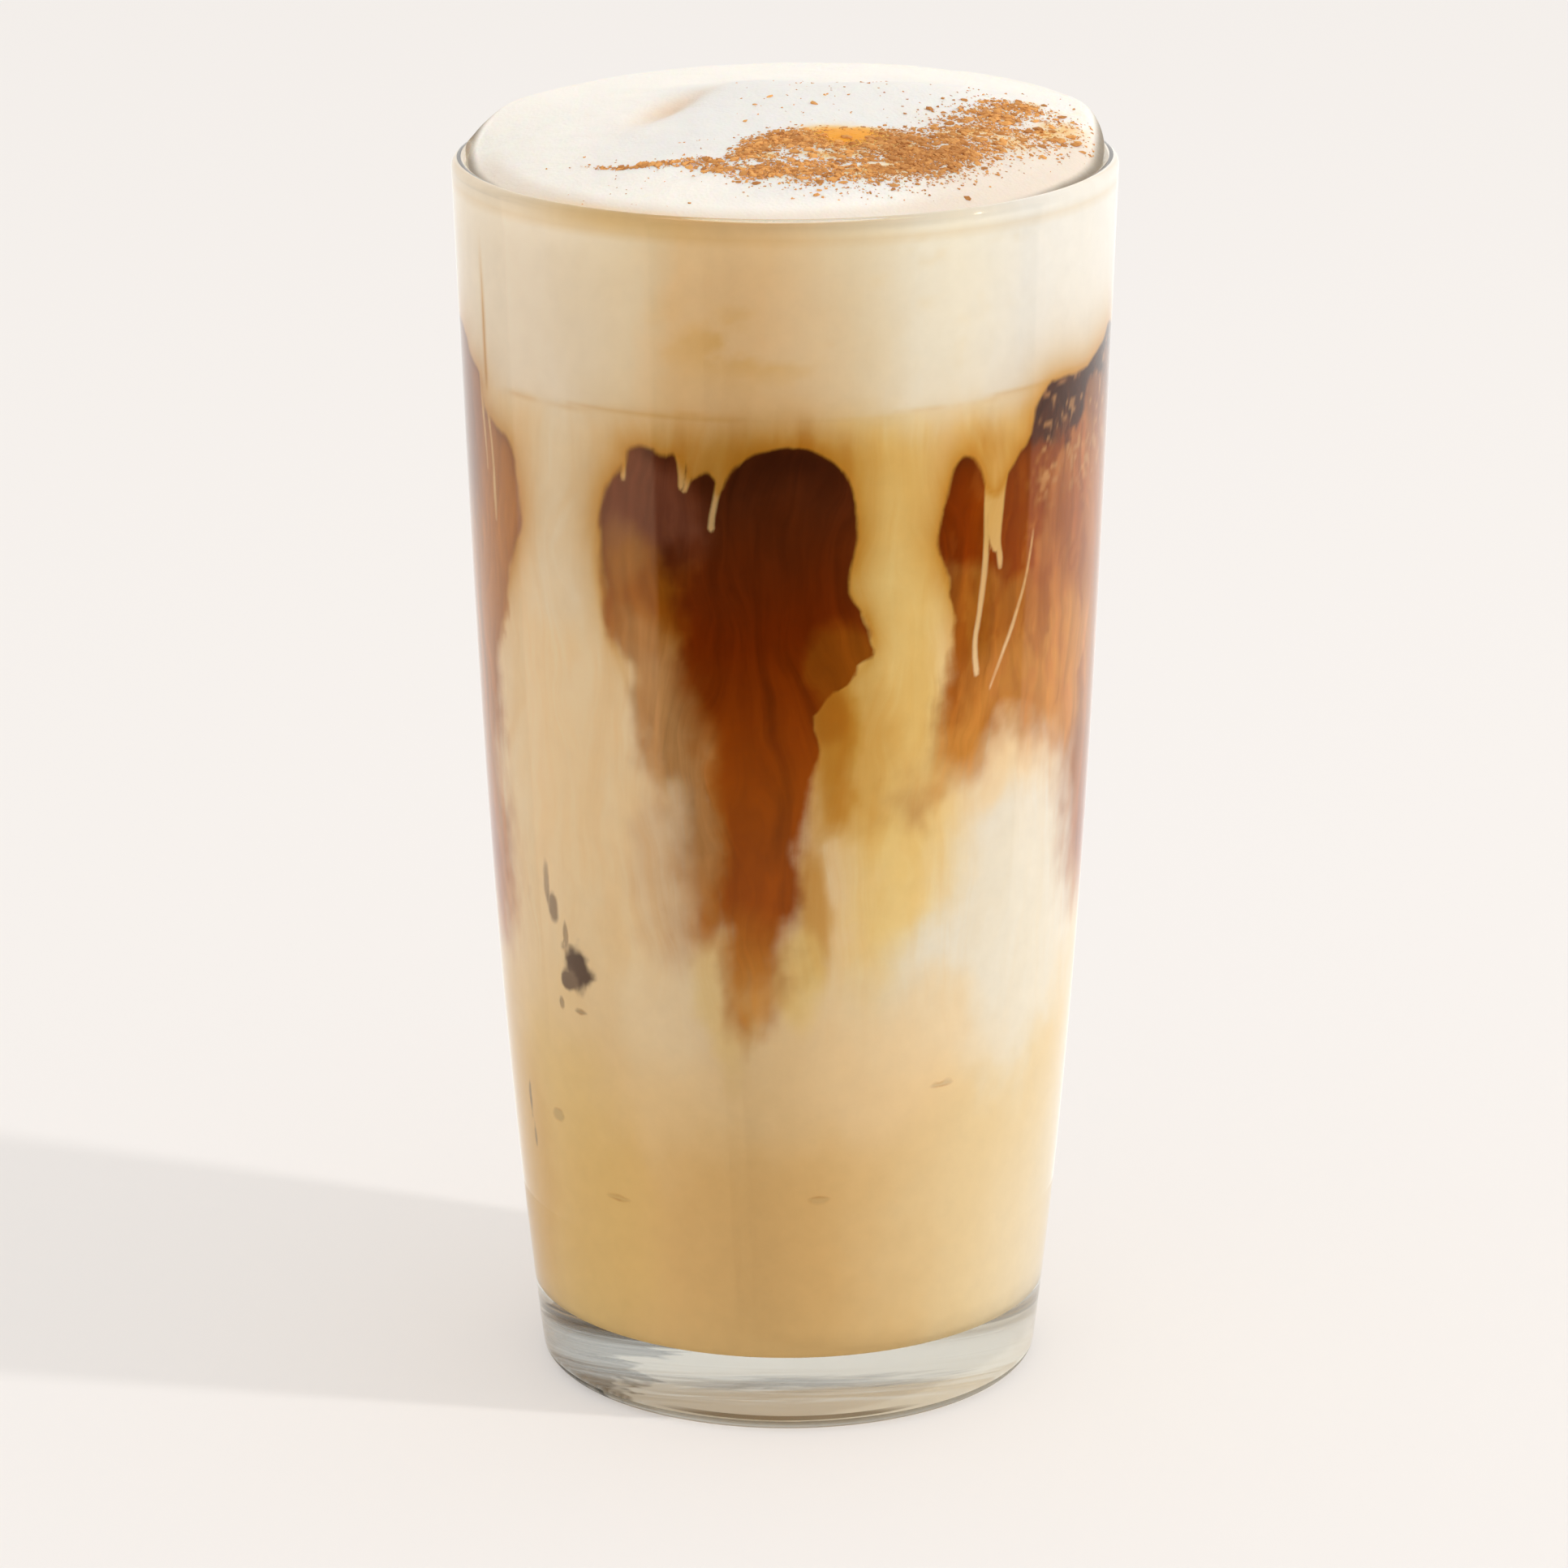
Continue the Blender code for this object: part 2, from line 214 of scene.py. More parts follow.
# Ice that touches the wall: turn, height, reach round in millimetres, reach up, darkness.
ICE_SPOTS = (
    (-47.0, 57.6, 2.3, 2.5, 0.95), (-49.6, 55.6, 1.2, 1.1, 0.75), (-54.6, 67.2, 0.6, 2.3, 0.4),
    (-52.8, 64.6, 0.9, 1.6, 0.5), (-49.5, 61.4, 0.4, 1.6, 0.4), (-52.2, 52.3, 0.5, 0.7, 0.35),
    (-46.2, 52.0, 1.0, 0.4, 0.35), (-69.2, 37.0, 0.5, 1.8, 0.45), (-68.4, 32.0, 0.4, 1.5, 0.35),
    (-56.4, 36.9, 1.2, 0.6, 0.16), (33.2, 44.2, 1.3, 0.4, 0.12), (6.7, 30.8, 1.6, 0.4, 0.08),
    (-39.5, 28.6, 1.6, 0.4, 0.08), (120, 62, 1.4, 2.2, 0.6), (-150, 48, 1.6, 1.6, 0.5),
)
# Washes of one tone into another: turn, height, reach round in degrees, reach up, tone, strength, raggedness.
MILK_WASHES = (
    (68, 26, 46, 32, "pale", 1.0, 0.1),
    (-60, 26, 26, 24, "honey", 0.5, 0.1),
    (-74, 30, 12, 24, "gold", 0.15, 0.2),
    (95, 20, 40, 28, "cloud", 0.5, 0.1),
    (18, 100, 14, 34, "honey", 0.95, 0.15),
    (24, 74, 14, 20, "honey", 0.6, 0.25),
    (40, 120, 9, 9, "honey", 0.7, 0.3),
    (12, 86, 9, 14, "gold", 0.35, 0.3),
    (8.5, 86, 5.5, 12, "gold", 0.75, 0.45),
    (7.5, 91, 3.5, 5, "amber", 0.35, 0.5),
    (5, 70, 4.0, 9, "gold", 0.6, 0.3),
    (2, 60, 4.0, 7, "honey", 0.8, 0.3),
    (55, 66, 24, 20, "cloud", 1.0, 0.25),
    (44, 56, 26, 11, "cloud", 0.85, 0.25),
    (22, 48, 20, 8, "milk", 0.7, 0.3),
    (-22, 54, 14, 10, "cloud", 0.25, 0.3),
    (-24, 74, 9, 12, "blush", 0.55, 0.4),
    (-14, 50, 7, 8, "blush", 0.15, 0.4),
    (-13, 58, 6, 14, "honey", 0.5, 0.4),
    (-43, 116, 9, 13, "cloud", 0.35, 0.3),
    (130, 70, 24, 26, "cloud", 0.9, 0.3),
    (-120, 60, 26, 18, "cloud", 0.7, 0.3),
)
COFFEE_WASHES = (
    (-28, 116, 12, 8, "umber", 1.0, 0.4),
    (-29, 107, 11, 7, "bronze", 0.75, 0.5),
    (-29, 86, 12.5, 15, "lilac", 1.0, 0.25),
    (-22, 75, 7.5, 12, "lilac", 0.8, 0.3),
    (-70, 104, 22, 40, "copper_pale", 1.0, 0.1),
    (-70, 104, 22, 40, "gold", 0.72, 0.3),
    (-84, 122, 14, 12, "umber", 0.6, 0.2),
    (66, 102, 42, 30, "copper", 1.0, 0.08),
    (38, 103, 12, 6, "bronze", 0.55, 0.2),
    (62, 116, 14, 10, "copper_pale", 0.5, 0.3),
    (58, 91, 26, 9, "ginger", 0.75, 0.3),
    (9, 98, 4.5, 4.5, "bronze", 0.55, 0.5),
    (-31, 112, 5, 4, "lilac", 0.35, 0.4),
    (34, 86, 8, 6, "ginger", 0.7, 0.3),
)
# The espresso's tone by its height.
COFFEE_BY_HEIGHT = (
    (57, "ginger"), (69, "amber"), (82, "amber"), (102, "rust"), (118, "espresso"), (127, "night"),
)
# Tone of the foam against the wall, by its turn.
FOAM_SIDE = (
    (-180, "side_rose"), (-45, "side_rose"), (-27, "side_tan"), (-18, "side"), (-5, "side"), (11, "side_tan"),
    (22, "side_warm"), (30, "side_warm"), (46, "side_pale"), (100, "side_pale"), (150, "side_rose"),
    (180, "side_rose"),
)

# What gloss sees all round, from the left behind, by the front, to the right behind: start, end, brightness.
SECTORS = (
    (-190, -114, 1.1), (-114, -48, 1.7), (-48, 62, 0.03), (62, 80, 0.10), (80, 98, 0.35), (98, 190, 1.15),
)
# The lamp: distance and size in metres, and where it stands in degrees.
LAMP_DISTANCE = 0.85
LAMP_SIZE = 0.022
LAMP_ELEVATION = 38
LAMP_HEADING = -17
# The camera: its place, and how far it looks down and leans, in degrees.
CAMERA_PLACE = (-0.37, -760.0, 301.5)
CAMERA_DOWN = 16.71
CAMERA_ROLL = -0.189


def linear(text):
    """The linear colour of an sRGB hex value."""
    values = [int(text[i:i + 2], 16) / 255 for i in (1, 3, 5)]
    return tuple(v / 12.92 if v <= 0.04045 else ((v + 0.055) / 1.055) ** 2.4 for v in values)


def to_srgb(values):
    values = np.clip(np.asarray(values), 0, 1)
    return np.where(values <= 0.0031308, values * 12.92, 1.055 * values ** (1 / 2.4) - 0.055)


def to_linear(values):
    values = np.clip(np.asarray(values), 0, 1)
    return np.where(values <= 0.04045, values / 12.92, ((values + 0.055) / 1.055) ** 2.4)


def colour_property(name, text, description):
    return bpy.props.FloatVectorProperty(
        name=name, description=description, subtype="COLOR", size=3, min=0, max=1, default=linear(text))


class ChaiGlass(bpy.types.PropertyGroup):
    """Settings of the tumbler"""

    segments: bpy.props.IntProperty(
        name="Segments", description="Sides of the turned tumbler", default=256, min=32, max=512)
    ripple: bpy.props.FloatProperty(
        name="Ripple", description="Depth of the faint waves left by the mould", default=0.00002,
        min=0, subtype="DISTANCE", unit="LENGTH", precision=6)
    tint: colour_property("Tint", "#F7FBF8", "What a wall of the glass lets through")
    underside: colour_property("Underside", "#EDEDE5", "What the stippled underside lets through")
    # The colour of the painted reflections on the foot: dark streaks, a thin line and the heel's round.
    streak: colour_property("Streak", "#2E2A20", "Dark streaks in the foot")
    ground: bpy.props.FloatProperty(
        name="Ground", description="How milky the stippled underside is", default=0.6, min=0, max=1)
    stipple: bpy.props.FloatProperty(
        name="Stipple", description="Roughness of the underside", default=0.2, min=0, max=1)


class ChaiDrink(bpy.types.PropertyGroup):
    """Colours of the drink and of the foam against the wall"""

    tea: colour_property("Tea", "#F3C989", "Milk tea at the bottom")
    pale: colour_property("Pale tea", "#F6DBAC", "Milkier tea")
    cream: colour_property("Cream", "#FAD8A4", "Milk mixed with tea")
    milk: colour_property("Milk", "#FFE0B2", "Streams of nearly plain milk")
    honey: colour_property("Honey", "#FBD789", "Milk tinged with espresso")
    gold: colour_property("Gold", "#CA8220", "Halo round the espresso")
    cloud: colour_property("Cloud", "#F8EDDC", "Clouds of fresh milk")
    blush: colour_property("Blush", "#E4BF98", "Milk with espresso smoke")
    lilac: colour_property("Lilac", "#C9945C", "Milk seen through a film of espresso")
    copper_pale: colour_property("Pale copper", "#C6773C", "Thin espresso over pale milk")
    copper: colour_property("Copper", "#B6702F", "Thin espresso")
    ginger: colour_property("Ginger", "#DE9C4C", "Espresso that runs out into milk")
    bronze: colour_property("Bronze", "#B56C1A", "Espresso over a cube of ice")
    amber: colour_property("Amber", "#A85003", "Espresso low in a pocket")
    rust: colour_property("Rust", "#833004", "Espresso half-way up a pocket")
    umber: colour_property("Umber", "#834A34", "Espresso with a veil of milk")
    espresso: colour_property("Espresso", "#622C12", "Espresso under the foam")
    night: colour_property("Night", "#38170B", "Thickest espresso")
    ice_shade: colour_property("Ice shade", "#5A463A", "Ice that touches the wall")
    side: colour_property("Side", "#FFD9A6", "Foam against the wall at the front")
    side_tan: colour_property("Tan side", "#FAE4C2", "Foam against the wall beside the front")
    side_warm: colour_property("Warm side", "#FFF3E0", "Foam against the wall before the right")
    side_pale: colour_property("Pale side", "#F4EDE5", "Foam against the wall at the right")
    side_rose: colour_property("Rose side", "#FFEDD6", "Foam against the wall at the left")
    lip_shade: colour_property("Lip shade", "#8A8070", "Foam seen dimly under the lip at the sides")
    side_stain: colour_property("Side stain", "#EDB55C", "Streaks of espresso in the foam")


class ChaiFoam(bpy.types.PropertyGroup):
    """Colours of the foam and the cinnamon"""

    white: colour_property("White", "#E6E4E0", "Foam on top")
    cream: colour_property("Cream", "#E4D6C6", "Foam in front and at the right")
    warm: colour_property("Warm", "#F7F1E8", "Foam near the wall")
    # Painted shade in the fold of the foam.
    fold: colour_property("Fold", "#E0C6AC", "Foam stained in its folds")
    shade: colour_property("Shade", "#857A6A", "Foam beside the glass at the sides")
    stain: colour_property("Stain", "#EC981A", "Wet stain under the cinnamon")
    cinnamon: colour_property("Cinnamon", "#EEB068", "Ground cinnamon")
    cinnamon_dark: colour_property("Dark cinnamon", "#AE733F", "Bark in the cinnamon")
    grains: bpy.props.IntProperty(
        name="Grains", description="Fine grains of cinnamon", default=13500, min=0, max=16000)
    flakes: bpy.props.IntProperty(
        name="Flakes", description="Larger flakes of cinnamon", default=1500, min=0, max=6000)


class ChaiStage(bpy.types.PropertyGroup):
    """Floor, light and camera"""

    floor: colour_property("Floor", "#FAF6F3", "Pale floor")
    glow: bpy.props.FloatProperty(
        name="Glow", description="Light that comes up through the floor", default=0.42, min=0)
    scatter: bpy.props.FloatProperty(
        name="Scatter", description="Share of the light from above that the floor gives back",
        default=0.52, min=0)
    key: bpy.props.FloatProperty(name="Key", description="Strength of the key light", default=14.5, min=0)
    sky: bpy.props.FloatProperty(
        name="Sky", description="Strength of the soft light above", default=0.82, min=0)
    horizon: bpy.props.FloatProperty(
        name="Horizon", description="Strength of the soft light low down", default=1.15, min=0)
    lens: bpy.props.FloatProperty(
        name="Lens", description="Focal length of the camera", default=147.8, min=20, unit="CAMERA")


# Small tools

def add(tree, kind, inputs=(), **settings):
    """Adds a node. An input, by name or in order, is given a value, or is fed by a socket or by a node's
    first output in use. In order, a Map Range takes its value, the range it comes from and the one it goes
    to."""
    node = tree.nodes.new(kind)
    for name, value in settings.items():
        setattr(node, name, value)
    pairs = inputs.items() if isinstance(inputs, dict) else enumerate(inputs)
    for key, value in pairs:
        if isinstance(value, bpy.types.Node):
            value = next(output for output in value.outputs if output.enabled)
        if isinstance(value, bpy.types.NodeSocket):
            tree.links.new(value, node.inputs[key])
        else:
            node.inputs[key].default_value = value
    return node


def empty_tree(owner):
    """The node tree of a material, a world or a lamp, with nothing in it."""
    owner.use_nodes = True
    owner.node_tree.nodes.clear()
    return owner.node_tree


def new_material(name):
    material = bpy.data.materials.new(name)
    return material, empty_tree(material)


def new_geometry_tree(name, entry, lengths, count, result):
    """A node tree whose named inputs are the geometry that enters, its lengths and a whole number."""
    tree = bpy.data.node_groups.new(name, "GeometryNodeTree")
    sockets = [(entry, "Geometry"), *((length, "Float") for length in lengths), (count, "Int")]
    for label, kind in sockets:
        tree.interface.new_socket(label, in_out="INPUT", socket_type=f"NodeSocket{kind}")
    tree.interface.new_socket(result, in_out="OUTPUT", socket_type="NodeSocketGeometry")
    return tree, add(tree, "NodeGroupInput").outputs


def rgba(colour):
    return (*colour, 1.0)


def put_in_scene(name, data):
    made = bpy.data.objects.new(name, data)
    bpy.context.scene.collection.objects.link(made)
    return made


def new_object(name, points, faces=(), smooth=True):
    """A piece in the scene from points in millimetres, which may have no faces yet."""
    mesh = bpy.data.meshes.new(name)
    mesh.from_pydata(np.asarray(points) * MM, [], faces)
    mesh.validate()
    mesh.update()
    if smooth and len(faces):
        mesh.shade_smooth()
    return put_in_scene(name, mesh)


def store(made, name, kind, values):
    """Keeps a value at each point of a piece."""
    field = {"FLOAT": "value", "FLOAT_VECTOR": "vector", "FLOAT_COLOR": "color"}[kind]
    layer = made.data.attributes.new(name, kind, "POINT")
    layer.data.foreach_set(field, np.ascontiguousarray(values, dtype=np.float32).ravel())


def paint(made, name, colours):
    """Keeps a linear colour at each point of a piece."""
    store(made, name, "FLOAT_COLOR", np.concatenate([colours, np.ones((len(colours), 1))], 1))


def closed_body(rings, ends):
    """Points and faces of rings of points that run round Z and go up. A fan of triangles closes each end,
    which is given by its middle and by whether it is the upper one."""
    count = len(rings[0])
    points = np.concatenate([*rings, [middle for middle, _ in ends]])
    faces = grid_faces(count, len(rings))
    tip, last = count * len(rings), count * (len(rings) - 1)
    for k, (_, upper) in enumerate(ends):
        for i in range(count):
            following = (i + 1) % count
            faces.append((tip + k, last + i, last + following) if upper else (tip + k, following, i))
    return points, faces


def fit(made, slot, *nodes):
    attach(made, BODY)
    if nodes:
        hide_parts(*nodes)


def apply_tree(made, tree, inputs):
    """Runs a node tree on a piece with its named inputs set, and keeps the plain mesh it makes."""
    modifier = made.modifiers.new(tree.name, "NODES")
    modifier.node_group = tree
    for socket in tree.interface.items_tree:
        if socket.in_out == "INPUT" and socket.name in inputs:
            modifier[socket.identifier] = inputs[socket.name]
    graph = bpy.context.evaluated_depsgraph_get()
    whole = bpy.data.meshes.new_from_object(made.evaluated_get(graph))
    made.modifiers.clear()
    made.data = whole
    whole.name = made.name


# Shape of the tumbler

def outer_radius(z):
    t = 1 - z / HEIGHT
    return RIM_RADIUS - TAPER * t + BELLY * t**2 - FOOT_TUCK * t**3


def inner_radius(z):
    t = 1 - z / HEIGHT
    return outer_radius(z) - WALL_AT_RIM - (WALL_AT_FOOT - WALL_AT_RIM) * t


def arc(centre, radius, start, end, steps):
    angles = np.radians(np.linspace(start, end, steps + 1))
    return [(centre[0] + radius * math.cos(a), centre[1] + radius * math.sin(a)) for a in angles]


def glass_profile():
    """From the middle of the cavity's floor, over the lip, to the middle of the underside."""
    ring_outer = outer_radius(HEEL_RADIUS) - HEEL_RADIUS
    ring_inner = ring_outer - CONTACT_RING_WIDTH
    wall_start = FLOOR_THICKNESS + 2 * FLOOR_FILLET
    foot = inner_radius(FLOOR_THICKNESS) - FLOOR_FILLET
    points = [(foot * share, FLOOR_THICKNESS) for share in (0.0, 0.3, 0.6, 0.85)]
    points += arc((foot, FILLET_TOP), FLOOR_FILLET, -90, -12, 10)
    points += [(inner_radius(z), z) for z in np.linspace(wall_start, LIP_HEIGHT, 40)]
    points += arc((outer_radius(LIP_HEIGHT) - LIP, LIP_HEIGHT), LIP, 168, 4, 14)
    points += [(outer_radius(z), z) for z in np.linspace(LIP_HEIGHT, HEEL_RADIUS, 48)][1:]
    points += arc((ring_outer, HEEL_RADIUS), HEEL_RADIUS, -14, -90, 10)
    for share in (1.0, 0.97, 0.9, 0.8, 0.65, 0.45, 0.25, 0.0):
        points.append((ring_inner * share, PUNT_DEPTH * (1 - share**2)))
    return points


def tumbler_tree(rows, clear, stippled):
    """Turns a profile about the axis. Each point of the profile says how far inside the outer rule it lies,
    and the outer rule is a straight taper with a slight belly that tucks in at the foot."""
    rule = (("Taper", 1, "SUBTRACT"), ("Belly", 2, "ADD"), ("Foot Tuck", 3, "SUBTRACT"))
    lengths = ("Height", "Rim Radius", *(name for name, _, _ in rule))
    tree, entry = new_geometry_tree("tumbler", "Profile", lengths, "Segments", "Glass")
    # A flat sheet of points, each of which finds its column and row from its number.
    columns = add(tree, "ShaderNodeMath", (entry["Segments"], 1.0), operation="ADD")
    sheet = add(tree, "GeometryNodeMeshGrid", {"Vertices X": columns, "Vertices Y": rows})
    index = add(tree, "GeometryNodeInputIndex")
    middle = add(tree, "ShaderNodeMath", (index, 0.5), operation="ADD")
    passed = add(tree, "ShaderNodeMath", (middle, float(rows)), operation="DIVIDE")
    column = add(tree, "ShaderNodeMath", (passed,), operation="FLOOR")
    before = add(tree, "ShaderNodeMath", (column, float(rows)), operation="MULTIPLY")
    row = add(tree, "ShaderNodeMath", (index, before), operation="SUBTRACT")
    # What the profile's point of that row carries.
    place = add(tree, "GeometryNodeInputPosition")
    inset = add(tree, "GeometryNodeInputNamedAttribute", {"Name": "inset"}, data_type="FLOAT")
    at = add(tree, "GeometryNodeSampleIndex", {
        "Geometry": entry["Profile"], "Value": place, "Index": row}, data_type="FLOAT_VECTOR")
    inside = add(tree, "GeometryNodeSampleIndex", {
        "Geometry": entry["Profile"], "Value": inset, "Index": row}, data_type="FLOAT")
    height = add(tree, "ShaderNodeSeparateXYZ", (at,)).outputs["Z"]
    # The outer rule, less the inset.
    risen = add(tree, "ShaderNodeMath", (height, entry["Height"]), operation="DIVIDE")
    down = add(tree, "ShaderNodeMath", (1.0, risen), operation="SUBTRACT")
    radius = entry["Rim Radius"]
    for name, power, operation in rule:
        raised = add(tree, "ShaderNodeMath", (down, float(power)), operation="POWER")
        part = add(tree, "ShaderNodeMath", (entry[name], raised), operation="MULTIPLY")
        radius = add(tree, "ShaderNodeMath", (radius, part), operation=operation)
    radius = add(tree, "ShaderNodeMath", (radius, inside), operation="SUBTRACT")
    # Bent round the axis.
    turned = add(tree, "ShaderNodeMath", (column, entry["Segments"]), operation="DIVIDE")
    angle = add(tree, "ShaderNodeMath", (turned, 2 * math.pi), operation="MULTIPLY")
    round_axis = []
    for operation in ("COSINE", "SINE"):
        part = add(tree, "ShaderNodeMath", (angle,), operation=operation)
        round_axis.append(add(tree, "ShaderNodeMath", (radius, part), operation="MULTIPLY"))
    spot = add(tree, "ShaderNodeCombineXYZ", (*round_axis, height))
    bent = add(tree, "GeometryNodeSetPosition", {"Geometry": sheet, "Position": spot})
    closed = add(tree, "GeometryNodeMergeByDistance", {"Geometry": bent, "Distance": WELD * MM})
    outward = add(tree, "GeometryNodeFlipFaces", {"Mesh": closed})
    smooth = add(tree, "GeometryNodeSetShadeSmooth", {"Geometry": outward})
    whole = add(tree, "GeometryNodeRealizeInstances", {"Geometry": smooth})
    coated = add(tree, "GeometryNodeSetMaterial", {"Geometry": whole, "Material": clear})
    # The underside is the punt, the contact ring and the lower half of the heel's round.
    level = add(tree, "ShaderNodeSeparateXYZ", (place,)).outputs["Z"]
    low = add(tree, "ShaderNodeMath", (level, UNDERSIDE_TOP * MM), operation="LESS_THAN")
    under = add(tree, "GeometryNodeSetMaterial", {"Geometry": coated, "Selection": low, "Material": stippled})
    add(tree, "NodeGroupOutput", (under,))
    return tree


# Clouds, lines and colours on the wall

def eased(value):
    value = np.clip(value, 0.0, 1.0)
    return value * value * (3 - 2 * value)


def hill(value, top, width):
    """1 at its top, and nearly gone at twice its width from there."""
    return np.exp(-((value - top) / width) ** 2)


def apart(turn, other=0):
    """Degrees from one turn to another, the shorter way round."""
    return (turn - other + 180) % 360 - 180


def beside(turn, start):
    """1 at both sides of the glass, from some way past a turn, and 0 in front and behind."""
    off_front = np.abs(apart(turn))
    return eased((off_front - start) / 24) * eased((124 - off_front) / 14)


def blend(first, second, share):
    share = np.asarray(share)[..., None]
    return first * (1 - share) + second * share


def layered(made, tones, *layers):
    """Lays named tones over a colour, one after another, each by its share."""
    for tone, share in layers:
        made = blend(made, tones[tone], share)
    return made


def cloud(turn, z, wide, tall, seed, layers=4, gain=0.5):
    """Smooth random clouds round the wall, between about -1 and 1; wide and tall are one cloud's size."""
    below, span = 20, 220
    turn, z = np.broadcast_arrays(turn, z)
    total = np.zeros(turn.shape)
    weight = 1.0
    for layer in range(layers):
        cells = max(3, round(360 * DEGREE / wide))
        rows = int(span / tall) + 4
        grid = np.random.default_rng(seed + 97 * layer).uniform(-1, 1, (cells, rows))
        u = (turn / 360.0 % 1.0) * cells
        v = np.clip(z + below, 0, span - 1) / tall
        total += weight * between_cells(grid, u, v, cells)
        weight *= gain
        wide, tall = wide / 2, tall / 2
    return total


def between_cells(grid, u, v, columns):
    """Eased values of a grid at places counted in its cells; its columns run round."""
    iu, iv = np.floor(u).astype(int), np.floor(v).astype(int)
    fu, fv = eased(u - iu), eased(v - iv)
    low = grid[iu % columns, iv] * (1 - fu) + grid[(iu + 1) % columns, iv] * fu
    high = grid[iu % columns, iv + 1] * (1 - fu) + grid[(iu + 1) % columns, iv + 1] * fu
    return low * (1 - fv) + high * fv


def curve(points, steps, closed):
    """A smooth curve through a few points, by Catmull and Rom's rule."""
    points = np.array(points, float)
    count = len(points)
    made = []
    for i in range(count if closed else count - 1):
        near = [(i + k) % count if closed else min(max(i + k, 0), count - 1) for k in (-1, 0, 1, 2)]
        a, b, c, d = points[near]
        for t in np.arange(steps) / steps:
            made.append(0.5 * (2 * b + (c - a) * t + (2 * a - 5 * b + 4 * c - d) * t**2
                               + (3 * b - 3 * c + d - a) * t**3))
    if not closed:
        made.append(points[-1])
    return np.array(made)


def gap_to(turn, z, line, closed, reach):
    """Distance from each place to a line, the place along it, and whether it lies inside a closed one."""
    middle = (line[:, 0].min() + line[:, 0].max()) / 2
    half = (line[:, 0].max() - line[:, 0].min()) / 2 + reach / DEGREE
    offset = apart(turn, middle)
    near = (np.abs(offset) < half) & (z > line[:, 1].min() - reach) & (z < line[:, 1].max() + reach)
    x, y = offset[near] * DEGREE, z[near]
    best = np.full(x.shape, float(reach))
    along = np.zeros(x.shape)
    inside = np.zeros(x.shape, bool)
    starts = line if closed else line[:-1]
    ends = np.roll(line, -1, axis=0) if closed else line[1:]
    for k, (start, end) in enumerate(zip(starts, ends)):
        ax, ay = (start[0] - middle) * DEGREE, start[1]
        dx, dy = (end[0] - start[0]) * DEGREE, end[1] - start[1]
        t = np.clip(((x - ax) * dx + (y - ay) * dy) / max(dx * dx + dy * dy, 1e-9), 0, 1)
        gap = np.hypot(x - ax - t * dx, y - ay - t * dy)
        closer = gap < best
        best[closer] = gap[closer]
        along[closer] = (k + t)[closer]
        if closed:
            crosses = (ay > y) != (end[1] > y)
            inside ^= crosses & (x < dx * (y - ay) / (dy if dy else 1e-9) + ax)
    found = (np.full(turn.shape, float(reach)), np.zeros(turn.shape), np.zeros(turn.shape, bool))
    for whole, part in zip(found, (best, along, inside)):
        whole[near] = part
    return found


def pocket(turn, z, outline, side, shift, crisp, soft_top, faded, soft_low, seed):
    """How far inside a pocket each place lies, in shares of the edge's softness and in millimetres, and how
    far the pocket has faded out there."""
    line = curve([(side * t + shift, h) for t, h in outline], 3, True)
    gap, _, inside = gap_to(turn, z, line, True, 14)
    depth = np.where(inside, gap, -gap)
    fall = eased((crisp - z) / (crisp - faded))
    soft = soft_top + (soft_low - soft_top) * fall
    streak = cloud(turn + 2.5 * cloud(turn, z, 10, 16, seed + 5, 3), z, 3.4, 18, seed + 1, 2)
    ragged = cloud(turn, z, 3.0, 3.0, seed + 2, 4)
    smoke = cloud(turn, z, 7.0, 9.0, seed + 3, 4)
    torn = 0.22 + 0.5 * fall + 0.5 * hill(z, 97, 9)
    rough = depth + ragged * torn + streak * (0.12 + 1.2 * fall) + 2.8 * fall * smoke
    return rough / soft, depth, fall


def drip(turn, z, points, seed):
    """How far outside a thread of milk each place lies, in shares of its soft edge."""
    line = curve(points, 5, False)
    gap, along, _ = gap_to(turn + 0.25 * cloud(turn, z, 3, 6, seed, 2), z, line[:, :2], False, 6)
    half = np.interp(along, np.arange(len(line)), line[:, 2])
    return (gap - half) / 0.22


def between(place, knots, tones):
    """A tone for each place on a scale, from tones named at a few of them."""
    at = [knot[0] for knot in knots]
    return np.stack([np.interp(place, at, [tones[knot[1]][i] for knot in knots]) for i in range(3)], -1)


def washed(made, turn, z, swirl, washes, tones):
    for at_turn, at_z, round_reach, up_reach, tone, strength, ragged in washes:
        far = np.hypot(apart(turn, at_turn) / round_reach, (z - at_z) / up_reach) + ragged * swirl
        made = blend(made, tones[tone], strength * eased((1 - far) / 0.8 + 0.5))
    return made


